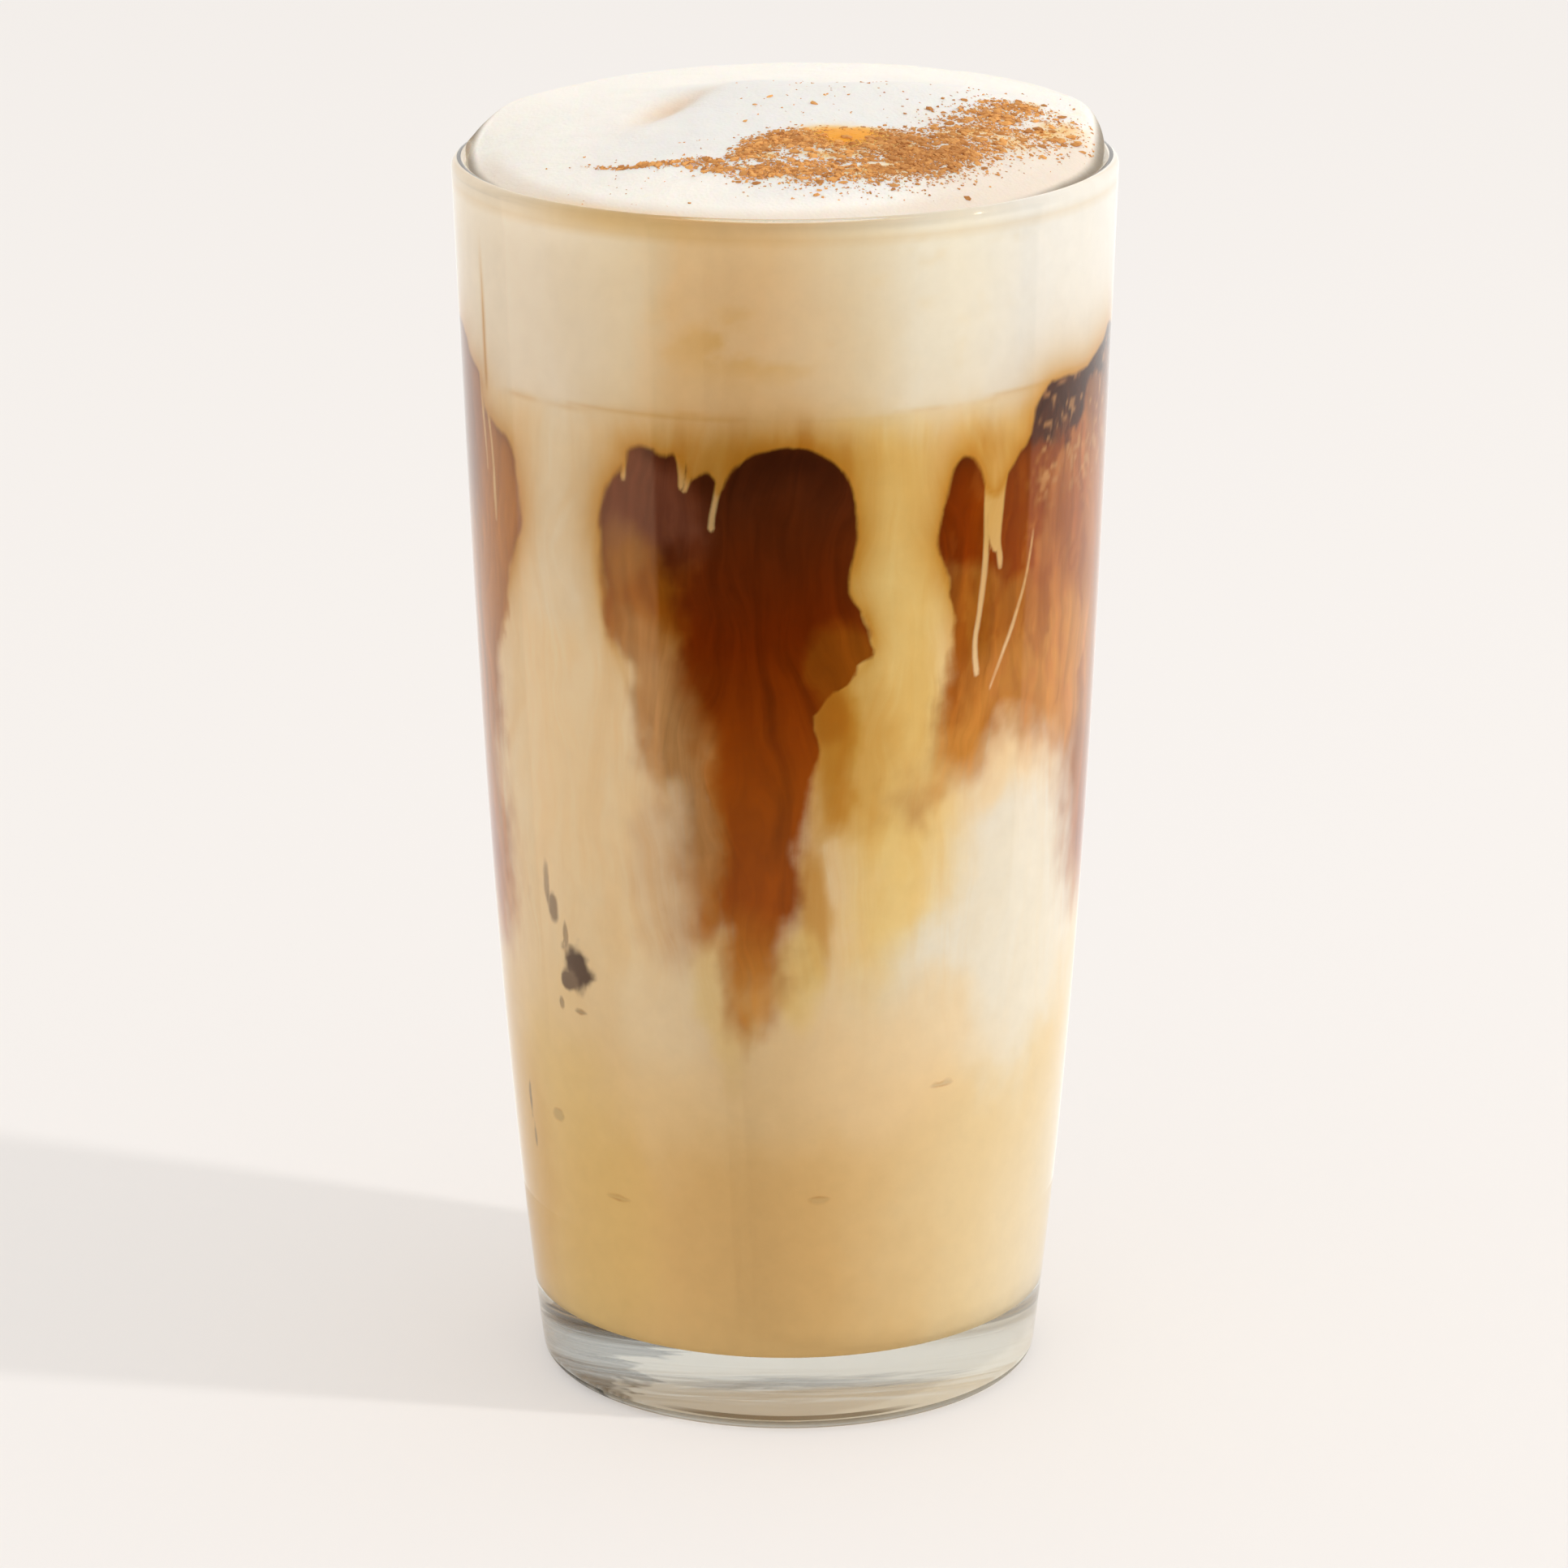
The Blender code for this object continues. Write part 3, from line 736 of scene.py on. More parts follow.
def milk_tones(turn, z, depth, tones):
    """Colour of the milky part at each place on the wall."""
    warp_turn = turn + 1.2 * cloud(turn, z, 12, 16, 3, 3)
    warp_z = z + 2.0 * cloud(turn, z, 12, 16, 4, 3)
    swirl = cloud(warp_turn, warp_z, 11, 13, 7, 5, 0.55)
    front = apart(turn)
    made = np.empty(turn.shape + (3,))
    made[:] = tones["tea"]
    made = layered(
        made, tones,
        ("cream", eased((warp_z + 3 * swirl - 28) / 18)),
        ("milk", eased((warp_z + 5 * swirl - 44) / 16)))
    made = washed(made, warp_turn, warp_z, swirl, MILK_WASHES, tones)
    # The foam against the wall, down to a level that rises a little from left to right.
    foam = between(apart(turn + 2.5 * swirl), FOAM_SIDE, tones)
    level = 128.6 + 0.014 * front * (np.abs(front) < 90) + 0.25 * swirl
    covered = 0.72 * eased((z + 1.5 * swirl - 122.5) / 8) + 0.28 * eased((z - level) / 0.7 + 0.5)
    made = blend(made, foam, covered)
    # Gold and brown smoke under the foam, drawn out like a comb.
    comb = cloud(turn, z, 2.2, 14, 404, 3)
    under = (hill(front, -3, 17) + 0.3 * hill(front, 40, 9)) * hill(z, 123.8, 3.6)
    # Stains in the foam: two smears, a thread at the left, and what shows through the lip.
    smear = 0.5 * cloud(turn, z, 5, 3.5, 402, 4) + 0.25 * swirl
    low = hill(z, 137.5, 4.0) * hill(front, -6, 15)
    high = hill(z, 145, 9.0) * hill(front, 30, 14)
    thread = hill(front + 67.2 + 0.3 * swirl, 0, 0.55) * eased((z - 126) / 3) * eased((147 - z) / 14)
    amber = hill(front, -31, 18) * eased((z - LIP_HEIGHT + 2.6) / 2.2)
    # A halo round the pockets, fainter on the milk inside them.
    halo = np.exp(-np.clip(-depth, 0, None) / (0.9 + 1.6 * eased((z - 96) / 24)))
    halo = halo * eased((z - 90) / 18) * (1 - 0.55 * eased(depth / 1.2))
    return layered(
        made, tones,
        ("gold", 0.22 * hill(z, level, 0.35) * eased(0.7 + swirl)),
        ("gold", np.clip(under * (0.8 + 0.35 * swirl), 0, 0.95)),
        ("amber", np.clip(under * eased(0.15 + 0.9 * comb) * 0.6, 0, 0.6)),
        ("side_stain", np.clip(0.55 * low * eased(0.15 + 1.6 * smear), 0, 1)),
        ("side_stain", np.clip(0.35 * high * eased(smear), 0, 1)),
        ("gold", 0.75 * thread),
        # A faint gold line painted just under the lip's round: painted shade of the lip's lower edge.
        ("gold", 0.10 * hill(z, 149.5, 0.55)),
        ("lip_shade", 0.35 * beside(turn, 42) * (front < 0) * eased((z - LIP_HEIGHT + 0.6) / 0.8)),
        ("side_stain", 0.45 * amber),
        ("gold", np.clip(0.75 * halo, 0, 1)))


def coffee_tones(turn, z, depth, tones):
    """Colour of the espresso at each place on the wall."""
    swirl = cloud(turn, z, 9, 12, 7, 5, 0.55)
    fine = cloud(turn, z, 2.4, 3.0, 17, 4)
    thick = between(z + 2 * swirl, COFFEE_BY_HEIGHT, tones)
    made = washed(thick, turn, z, swirl, COFFEE_WASHES, tones)
    # Where it stands thick in the east: rust at its left end, mottled copper and night at its right.
    broken = z + 2.2 * fine * eased((turn - 44) / 8)
    share, _, _ = pocket(turn + 1.5 * fine, broken, EAST_THICK, 1, 0, 124, 0.5, 110, 1.6, 71)
    mottle = 0.7 * cloud(turn, z, 1.1, 1.3, 409, 3) + 0.5 * fine
    spotted = eased((turn - 44) / 9) * eased(2.2 * mottle) * eased((130.5 - z) / 5)
    inner = layered(
        thick, tones,
        ("rust", 0.9 * eased((47 - turn) / 6) * eased((124.5 - z) / 6)),
        ("amber", 0.75 * eased((turn - 22) / 26) * eased((126.5 - z) / 6)),
        ("copper", 0.75 * spotted),
        ("night", 0.85 * eased((turn - 46) / 4) * eased((z - 121 + 2 * fine + 2 * mottle) / 4)))
    made = blend(made, inner, eased(share / 2 + 0.5))
    # Strands of thicker espresso, pale bubbles where it stands highest, and a rim round each pocket.
    strand = cloud(turn + 2.5 * fine, z, 2.6, 11, 405, 3)
    eastern = eased((turn - 28) / 6) * eased((110 - turn) / 10) * eased((z - 82) / 10)
    bubbles = eased(2.6 * cloud(turn, z, 0.9, 1.0, 407, 2) - 0.9)
    rim = np.exp(-np.clip(depth, 0, None) / 0.8)
    return layered(
        made, tones,
        ("rust", 0.26 * eastern * eased(1.3 * strand - 0.1)),
        ("copper_pale", 0.35 * eastern * eased(-1.3 * strand - 0.2)),
        ("lilac", 0.75 * bubbles * eased((turn - 48) / 5) * eased((z - 112) / 6)),
        ("espresso", 0.45 * rim * eased((z - 98) / 12)),
        ("amber", 0.35 * rim * eased((104 - z) / 14)))


def marbling(turn, z, tones):
    """What each place on the wall shows: colour of the milk, colour of the coffee, how far inside the coffee
    it is in shares of the soft edge, how streaky it is and how much its edge frays."""
    edge = np.full(turn.shape, -9.0)
    depth = np.full(turn.shape, -50.0)
    fray = np.ones(turn.shape)
    for settings in POCKETS:
        share, inside, fall = pocket(turn, z, *settings)
        fray = np.where(share > edge, 1 - 0.8 * fall, fray)
        edge = np.maximum(edge, share)
        depth = np.maximum(depth, inside)
    for k, points in enumerate(DRIPS):
        edge = np.minimum(edge, drip(turn, z, points, 200 + k))
    milk = milk_tones(turn, z, depth, tones)
    coffee = coffee_tones(turn, z, depth, tones)
    for k, (at_turn, at_z, wide, tall, darkness) in enumerate(ICE_SPOTS):
        far = np.hypot(apart(turn, at_turn) * DEGREE / wide, (z - at_z) / tall)
        near = far < 4
        rough = 0.8 * cloud(turn, z, 1.6, 1.6, 600 + k, 3)
        spot = np.where(near, (1.1 - far + 0.35 * rough) / 0.35, -9)
        show = eased((spot + 2) / 2) * near
        coffee = blend(coffee, blend(milk, tones["ice_shade"], darkness), show)
        edge = np.maximum(edge, spot)
    # Streaks grow with height, and are calm over the cloud of milk at the right and at the left.
    front = apart(turn)
    veins = eased((z - 44) / 26) * (1 - 0.9 * eased((z - 125) / 5))
    veins = veins * (1 - 0.8 * np.exp(-((front - 52) / 20) ** 2 - ((z - 68) / 17) ** 2))
    veins = veins * (1 - 0.35 * hill(front, -48, 14))
    return milk, coffee, np.clip(edge, -3, 3), veins, fray


def flow(turn, z):
    """Place in millimetres that streaks of the marbling follow: round the wall, bent, and up."""
    bent = turn + 3.0 * cloud(turn, z, 12, 26, 11, 3) + 1.8 * cloud(turn, z, 6, 10, 18, 3)
    x, y = wall_point(bent, 36.0)
    return np.stack([x, y, z + 0 * x], -1)


def marble(made, points, settings):
    """Stores the marbling on a piece that lies against the wall."""
    names = [name for name in settings.bl_rna.properties.keys() if name not in ("rna_type", "name")]
    tones = {name: to_srgb(getattr(settings, name)) for name in names}
    turn, z = turn_of(points[:, 0], points[:, 1]), points[:, 2]
    milk, coffee, inside, veins, fray = marbling(turn, z, tones)
    paint(made, "milk", to_linear(milk))
    paint(made, "coffee", to_linear(coffee))
    for name, values in (("inside", inside), ("veins", veins), ("fray", fray)):
        store(made, name, "FLOAT", values)
    store(made, "flow", "FLOAT_VECTOR", flow(turn, z))


def wall_grid(low, high, rows, front_step, back_step):
    """Turns of the columns and heights of the rows of a piece that lies against the wall."""
    front_half = 100.0
    front = np.arange(-front_half, front_half, front_step)
    back = np.arange(front_half, 360 - front_half, back_step)
    return np.concatenate([front, back]), np.linspace(low, high, rows)


def wall_point(turn, radius):
    """Front is -Y, and turns grow towards +X."""
    return radius * np.sin(np.radians(turn)), -radius * np.cos(np.radians(turn))


def turn_of(x, y):
    return np.degrees(np.arctan2(x, -y))


def grid_faces(columns, rows):
    """Quads between rows of points that run round Z, facing outwards when rows go up."""
    i = np.arange(columns)
    j = (i + 1) % columns
    faces = []
    for low in range(0, (rows - 1) * columns, columns):
        faces.append(np.stack([low + i, low + j, low + columns + j, low + columns + i], 1))
    return np.concatenate(faces).tolist()


# Finishes

def tumbler_glass_finish(settings):
    """Soda-lime glass, pressed and fire-polished: clear, with very faint waves from the mould."""
    material, tree = new_material("soda-lime glass, fire-polished")
    place = add(tree, "ShaderNodeTexCoord").outputs["Object"]
    # Waves some 20 mm long.
    waves = add(tree, "ShaderNodeTexNoise", {"Vector": place, "Scale": 55.0, "Detail": 1.0})
    bump = add(tree, "ShaderNodeBump", {"Height": waves, "Strength": 1.0, "Distance": settings.ripple})
    glass = add(tree, "ShaderNodeBsdfPrincipled", {
        "Base Color": rgba(settings.tint), "Roughness": 0.0, "IOR": GLASS_IOR, "Transmission Weight": 1.0,
        "Specular Tint": rgba(linear("#C8A080")), "Normal": bump})
    end_glass(tree, glass)
    return material


def end_glass(tree, glass):
    """Ends a glass's tree. Shadow rays pass straight through, so that its shadow is clear and even."""
    clear = add(tree, "ShaderNodeBsdfTransparent", {"Color": (1.0, 1.0, 1.0, 1.0)})
    ray = add(tree, "ShaderNodeLightPath")
    mix = add(tree, "ShaderNodeMixShader", (ray.outputs["Is Shadow Ray"], glass, clear))
    add(tree, "ShaderNodeOutputMaterial", {"Surface": mix})


def stippled_glass_finish(settings):
    """The underside of the foot, stippled by the mould: it blurs what lies under it into soft level
    streaks, and dark reflections are painted on it."""
    material, tree = new_material("soda-lime glass, stippled underside")
    ring_edge = outer_radius(HEEL_RADIUS) - HEEL_RADIUS - CONTACT_RING_WIDTH
    place = add(tree, "ShaderNodeTexCoord").outputs["Object"]
    parts = add(tree, "ShaderNodeSeparateXYZ", (place,)).outputs
    # Waves some 30 mm long and 8 mm deep, level as seen from the front.
    scaled = add(tree, "ShaderNodeVectorMath", (place, (35.0, 120.0, 120.0)), operation="MULTIPLY")
    waves = add(tree, "ShaderNodeTexNoise", {
        "Vector": scaled, "Scale": 1.0, "Detail": 2.0, "Roughness": 0.5, "Distortion": 0.6})
    bump = add(tree, "ShaderNodeBump", {"Height": waves, "Strength": 1.0, "Distance": 0.3 * MM})
    # Painted reflections: cloudy dark streaks in the middle, torn by noise of 12 mm by 3 mm.
    torn = add(tree, "ShaderNodeVectorMath", (place, (80.0, 330.0, 330.0)), operation="MULTIPLY")
    tears = add(tree, "ShaderNodeTexNoise", {
        "Vector": torn, "Scale": 1.0, "Detail": 4.0, "Roughness": 0.6, "Distortion": 1.0})
    centred = add(tree, "ShaderNodeVectorMath", (place, (1.0 * MM, -4.0 * MM, 0.0)), operation="SUBTRACT")
    shaped = add(tree, "ShaderNodeVectorMath", (centred, (70.0, 170.0, 0.0)), operation="MULTIPLY")
    off = add(tree, "ShaderNodeVectorMath", (shaped,), operation="LENGTH")
    cloudy = add(tree, "ShaderNodeMath", (tears, 2.4, off), operation="MULTIPLY_ADD")
    painted_middle_reflection = add(tree, "ShaderNodeMapRange", (cloudy, 2.15, 1.35, 0.0, 0.75))
    # Painted reflections: dark jagged streaks near the left, where the foot mirrors the dark room.
    teeth = add(tree, "ShaderNodeTexNoise", {
        "Vector": place, "Scale": 110.0, "Detail": 3.0, "Roughness": 0.6})
    slanted = add(tree, "ShaderNodeMath", (parts["Y"], -0.35, parts["X"]), operation="MULTIPLY_ADD")
    jagged = add(tree, "ShaderNodeMath", (teeth, 22.0 * MM, slanted), operation="MULTIPLY_ADD")
    inner = add(tree, "ShaderNodeMapRange", (jagged, -1.4 * MM, -3.0 * MM, 0.0, 1.0))
    broken = add(tree, "ShaderNodeMapRange", (tears, 0.35, 0.65, 1.0, 0.65))
    outer = add(tree, "ShaderNodeMapRange", (slanted, -28.5 * MM, -24.0 * MM, 0.2, 1.0))
    banded = add(tree, "ShaderNodeMath", (inner, outer), operation="MULTIPLY")
    left = add(tree, "ShaderNodeMath", (banded, broken), operation="MULTIPLY")
    # Painted reflections: a thin dark line in front, where the contact ring rises into the punt, and the dark
    # round of the heel.
    flat = add(tree, "ShaderNodeCombineXYZ", (parts["X"], parts["Y"]))
    reach = add(tree, "ShaderNodeVectorMath", (flat,), operation="LENGTH")
    ring = add(tree, "ShaderNodeMath", (reach, (ring_edge - 3.2) * MM, 0.7 * MM), operation="COMPARE")
    near = add(tree, "ShaderNodeMapRange", (parts["Y"], -17.5 * MM, -20.5 * MM, 0.0, 0.8))
    thin = add(tree, "ShaderNodeMath", (ring, near), operation="MULTIPLY")
    heel = add(tree, "ShaderNodeMapRange", (reach, (ring_edge + 2.6) * MM, (ring_edge + 3.4) * MM, 0.0, 0.5))
    darker = add(tree, "ShaderNodeMath", (painted_middle_reflection, thin), operation="MAXIMUM")
    darkest = add(tree, "ShaderNodeMath", (left, heel), operation="MAXIMUM")
    dark = add(tree, "ShaderNodeMath", (darker, darkest), operation="MAXIMUM")
    grey = add(tree, "ShaderNodeMix", {
        0: dark, 6: rgba(settings.underside), 7: rgba(settings.streak)}, data_type="RGBA")
    ground = add(tree, "ShaderNodeBsdfTranslucent", {"Color": grey, "Normal": bump})
    rough = add(tree, "ShaderNodeBsdfPrincipled", {
        "Base Color": grey, "Roughness": settings.stipple, "IOR": GLASS_IOR, "Transmission Weight": 1.0,
        "Normal": bump})
    end_glass(tree, add(tree, "ShaderNodeMixShader", (settings.ground, rough, ground)))
    return material


def drink_finish():
    """Milky chai marbled with espresso, wet against the glass: opaque, with no gloss of its own there."""
    material, tree = new_material("milky chai with espresso")
    place = add(tree, "ShaderNodeTexCoord").outputs["Object"]
    milk, coffee, inside, veins, fraying, flow_along = (
        add(tree, "ShaderNodeAttribute", attribute_name=name).outputs
        for name in ("milk", "coffee", "inside", "veins", "fray", "flow"))
    # Threads about 1 mm wide and 15 mm long that hang down the wall, and folds of 3 mm by 25 mm behind them:
    # how close they lie, how finely they split, how much they bend, and the middle part of the noise.
    waves = []
    for close, detail, bend, low, high in (
            ((0.8, 0.8, 0.06), 3.0, 0.6, 0.32, 0.68), ((0.30, 0.30, 0.04), 4.0, 0.9, 0.34, 0.66)):
        scaled = add(tree, "ShaderNodeVectorMath", (flow_along["Vector"], close), operation="MULTIPLY")
        noise = add(tree, "ShaderNodeTexNoise", {
            "Vector": scaled, "Scale": 1.0, "Detail": detail, "Roughness": 0.55, "Distortion": bend})
        waves.append(add(tree, "ShaderNodeMapRange", (noise, low, high, -1.0, 1.0)))
    thread, fold = waves
    mixed = add(tree, "ShaderNodeMix", {0: 0.3, 2: fold, 3: thread}, data_type="FLOAT")
    # Curls of about 1 mm, which fray the edges between milk and espresso.
    fray = add(tree, "ShaderNodeTexNoise", {
        "Vector": place, "Scale": 900.0, "Detail": 4.0, "Roughness": 0.6})
    frayed = add(tree, "ShaderNodeMapRange", (fray, 0.0, 1.0, -0.25, 0.25))
    loose = add(tree, "ShaderNodeMath", (mixed, 0.42, frayed), operation="MULTIPLY_ADD")
    reach = add(tree, "ShaderNodeMath", (loose, fraying["Fac"], inside["Fac"]), operation="MULTIPLY_ADD")
    share = add(tree, "ShaderNodeMapRange", (reach, -1.0, 1.0), interpolation_type="SMOOTHSTEP")
    # The folds turn the milk golden, and the espresso lighter and darker.
    folded = add(tree, "ShaderNodeMath", (mixed, veins["Fac"]), operation="MULTIPLY")
    honeyed = add(tree, "ShaderNodeMath", (folded, 0.45), operation="MULTIPLY")
    tinge = add(tree, "ShaderNodeMix", {
        0: honeyed, 6: (1.0, 1.0, 1.0, 1.0), 7: (0.95, 0.82, 0.60, 1.0)},
        data_type="RGBA", clamp_factor=False)
    streaked = add(tree, "ShaderNodeMix", {
        0: 1.0, 6: milk["Color"], 7: tinge}, data_type="RGBA", blend_type="MULTIPLY")
    lit = add(tree, "ShaderNodeMapRange", (folded, -1.0, 1.0, 0.76, 1.26))
    thinned = add(tree, "ShaderNodeVectorMath", {0: coffee["Color"], "Scale": lit}, operation="SCALE")
    body = add(tree, "ShaderNodeMix", {0: share, 6: streaked, 7: thinned}, data_type="RGBA")
    # Specks of spice finer than a millimetre, a little darker than the tea.
    specks = add(tree, "ShaderNodeTexNoise", {
        "Vector": place, "Scale": 380.0, "Detail": 5.0, "Roughness": 0.6})
    shade = add(tree, "ShaderNodeMapRange", (specks, 0.3, 0.7, 0.975, 1.02))
    toned = add(tree, "ShaderNodeVectorMath", {0: body, "Scale": shade}, operation="SCALE")
    liquid = add(tree, "ShaderNodeBsdfPrincipled", {
        "Base Color": toned, "Roughness": 0.55, "Specular IOR Level": 0.0})
    add(tree, "ShaderNodeOutputMaterial", {"Surface": liquid})
    return material


def foam_finish():
    """Steamed milk foam: matt, softly see-through, with bubbles of a few tenths of a millimetre."""
    material, tree = new_material("steamed milk foam")
    place = add(tree, "ShaderNodeTexCoord").outputs["Object"]
    tone = add(tree, "ShaderNodeAttribute", attribute_name="tone")
    bubbles = add(tree, "ShaderNodeTexVoronoi", {"Vector": place, "Scale": 2200.0})
    swells = add(tree, "ShaderNodeTexNoise", {
        "Vector": place, "Scale": 420.0, "Detail": 4.0, "Roughness": 0.6})
    relief = add(tree, "ShaderNodeMath", (bubbles, 0.35, swells), operation="MULTIPLY_ADD")
    bump = add(tree, "ShaderNodeBump", {"Height": relief, "Strength": 0.35, "Distance": 0.4 * MM})
    foam = add(tree, "ShaderNodeBsdfPrincipled", {
        "Base Color": tone, "Roughness": 0.6, "Specular IOR Level": 0.25, "Subsurface Weight": 0.6,
        "Subsurface Radius": (1.0, 0.6, 0.35), "Subsurface Scale": 1.5 * MM, "Normal": bump})
    add(tree, "ShaderNodeOutputMaterial", {"Surface": foam})
    return material


def cinnamon_finish(settings):
    """Ground cinnamon: dry bark, matt, each grain from tan to dark brown."""
    material, tree = new_material("ground cinnamon")
    place = add(tree, "ShaderNodeTexCoord").outputs["Object"]
    grain = add(tree, "ShaderNodeAttribute", attribute_name="grain").outputs["Fac"]
    # Fibres of about a third of a millimetre.
    fibres = add(tree, "ShaderNodeTexNoise", {"Vector": place, "Scale": 3000.0, "Detail": 2.0})
    mixed = add(tree, "ShaderNodeMath", (fibres, 0.5, grain), operation="MULTIPLY_ADD")
    share = add(tree, "ShaderNodeMapRange", (mixed, 0.2, 1.3))
    tone = add(tree, "ShaderNodeMix", {
        0: share, 6: rgba(settings.cinnamon_dark), 7: rgba(settings.cinnamon)}, data_type="RGBA")
    bark = add(tree, "ShaderNodeBsdfPrincipled", {
        "Base Color": tone, "Roughness": 0.85, "Specular IOR Level": 0.2})
    add(tree, "ShaderNodeOutputMaterial", {"Surface": bark})
    return material


# The foam's surface

def foam_rise(x, y):
    """How high the foam stands over the rim at a place seen from above."""
    right, back = x / FOAM_EDGE, y / FOAM_EDGE
    reach = np.minimum(np.hypot(right, back), 1.0)
    raised = eased((y - SHOULDER_START + SHOULDER_SKEW * (right + 1)) / SHOULDER_SWEEP)
    rise = FOAM_MEAN_RISE + FOAM_RISE_BACK * back + FOAM_RISE_RIGHT * right + FOAM_CROWN * (1 - reach**2)
    rise = rise + (SHOULDER_RAISED * raised + SHOULDER_SUNK * (1 - raised)) * reach**4
    for at_x, at_y, height, length, width, turn in FOAM_RELIEF:
        c, s = math.cos(math.radians(turn)), math.sin(math.radians(turn))
        along = (x - at_x) * c + (y - at_y) * s
        across = (y - at_y) * c - (x - at_x) * s
        rise = rise + height * np.exp(-((along / length) ** 2) - (across / width) ** 2)
    return rise


def lumps(x, y, size, seed, layers=3):
    """Random lumps seen from above, between about -1 and 1."""
    half = 50
    total = np.zeros(np.shape(x))
    weight = 1.0
    for layer in range(layers):
        cells = int(2 * half / size) + 3
        grid = np.random.default_rng(seed + 31 * layer).uniform(-1, 1, (cells, cells))
        u, v = (np.clip(side, -half, half) + half for side in (x, y))
        u, v = u / size, v / size
        total += weight * between_cells(grid, u, v, cells)
        weight *= 0.5
        size /= 2
    return total


def lip_lap(turn):
    """Degrees of the lip's round that the foam covers: a little in front, all of it behind."""
    return LAP_IN_FRONT + LAP_MORE_BEHIND * eased((np.abs(apart(turn)) - 80) / 32)


def on_lip(lap):
    """Radius and height of the foam that covers so many degrees of the lip's round."""
    angle, size = np.radians(180 - lap), LIP + FOAM_OVER_LIP
    return LIP_RADIUS + size * np.cos(angle), LIP_HEIGHT + size * np.sin(angle)


def foam_edge(turn):
    """Radius and height where the foam's edge lies on the lip."""
    return on_lip(lip_lap(turn))


def foam_surface(x, y):
    """Height of the foam. Near its edge it rounds down to where it meets the glass."""
    turn = turn_of(x, y)
    edge_radius, edge_z = foam_edge(turn)
    fine = 0.10 * lumps(x, y, 5.0, 300) + 0.03 * lumps(x, y, 1.4, 301, 2)
    inner = HEIGHT + foam_rise(x, y) + fine
    behind = eased((lip_lap(turn) - LAP_IN_FRONT) / LAP_MORE_BEHIND)
    round_width = 2.4 - 0.8 * behind + 1.8 * hill(np.abs(turn), 92, 13)
    near = np.clip((edge_radius - np.hypot(x, y)) / round_width, 0, 1)
    return edge_z + (inner - edge_z) * np.sqrt(1 - (1 - near) ** 2)


def dusting(x, y):
    """How thick the cinnamon lies at a place: 1 along the middle of a band, 0 past its edge."""
    thick = np.zeros(np.shape(x))
    for band, _ in CINNAMON_BANDS:
        for px, py, half in curve(band, 6, False):
            thick = np.maximum(thick, 1 - np.hypot(x - px, y - py) / half)
    return np.clip(thick, 0, 1)


def wetness(x, y):
    """Where the espresso has soaked the cinnamon and the foam: 1 in the middle of the stain."""
    ragged = 1 + 0.35 * lumps(x, y, 3.4, 340, 2)
    return np.exp(-ragged * (((x - 7.4) / 5.4) ** 2 + ((y + 13.4) / 4.4) ** 2))


# Making the pieces

class CHAI_OT_glass(bpy.types.Operator):
    """Make the clear tumbler"""

    bl_idname = "chai.glass"
    bl_label = "Tumbler"

    def execute(self, context):
        settings = context.scene.chai_glass
        profile = glass_profile()
        made = new_object("tumbler_glass", [(0.0, 0.0, z) for _, z in profile])
        store(made, "inset", "FLOAT", [(outer_radius(z) - radius) * MM for radius, z in profile])
        tree = tumbler_tree(len(profile), tumbler_glass_finish(settings), stippled_glass_finish(settings))
        apply_tree(made, tree, {
            "Height": HEIGHT * MM, "Rim Radius": RIM_RADIUS * MM, "Taper": TAPER * MM, "Belly": BELLY * MM,
            "Foot Tuck": FOOT_TUCK * MM, "Segments": settings.segments})
        fit(made, "glass", "glass")
        return {"FINISHED"}


class CHAI_OT_drink(bpy.types.Operator):
    """Make the marbled drink up to the foam"""

    bl_idname = "chai.drink"
    bl_label = "Drink"

    def execute(self, context):
        rows = 196
        floor = FLOOR_THICKNESS - INTO_WALL
        turns, heights = wall_grid(FILLET_TOP, DRINK_LEVEL + INTO_WALL, rows, 0.5, 2.0)
        foot = inner_radius(FLOOR_THICKNESS) - FLOOR_FILLET
        round_foot = arc((foot, FILLET_TOP), FLOOR_FILLET, -90, -18, 6)
        profile = [(foot * share, floor) for share in (0.4, 0.8)]
        profile += [(radius + INTO_WALL, z - INTO_WALL) for radius, z in round_foot]
        profile += [(inner_radius(z) + INTO_WALL, z) for z in heights[1:]]
        rings = []
        for radius, z in profile:
            x, y = wall_point(turns, radius)
            rings.append(np.stack([x, y, z + 0 * x], 1))
        points, faces = closed_body(rings, (((0, 0, floor), False), ((0, 0, heights[-1]), True)))
        made = new_object("marbled_chai", points, faces)
        marble(made, points, context.scene.chai_drink)
        made.data.set_sharp_from_angle(angle=SHARP_FROM)
        made.data.materials.append(drink_finish())
        fit(made, "drink", "drink")
        return {"FINISHED"}


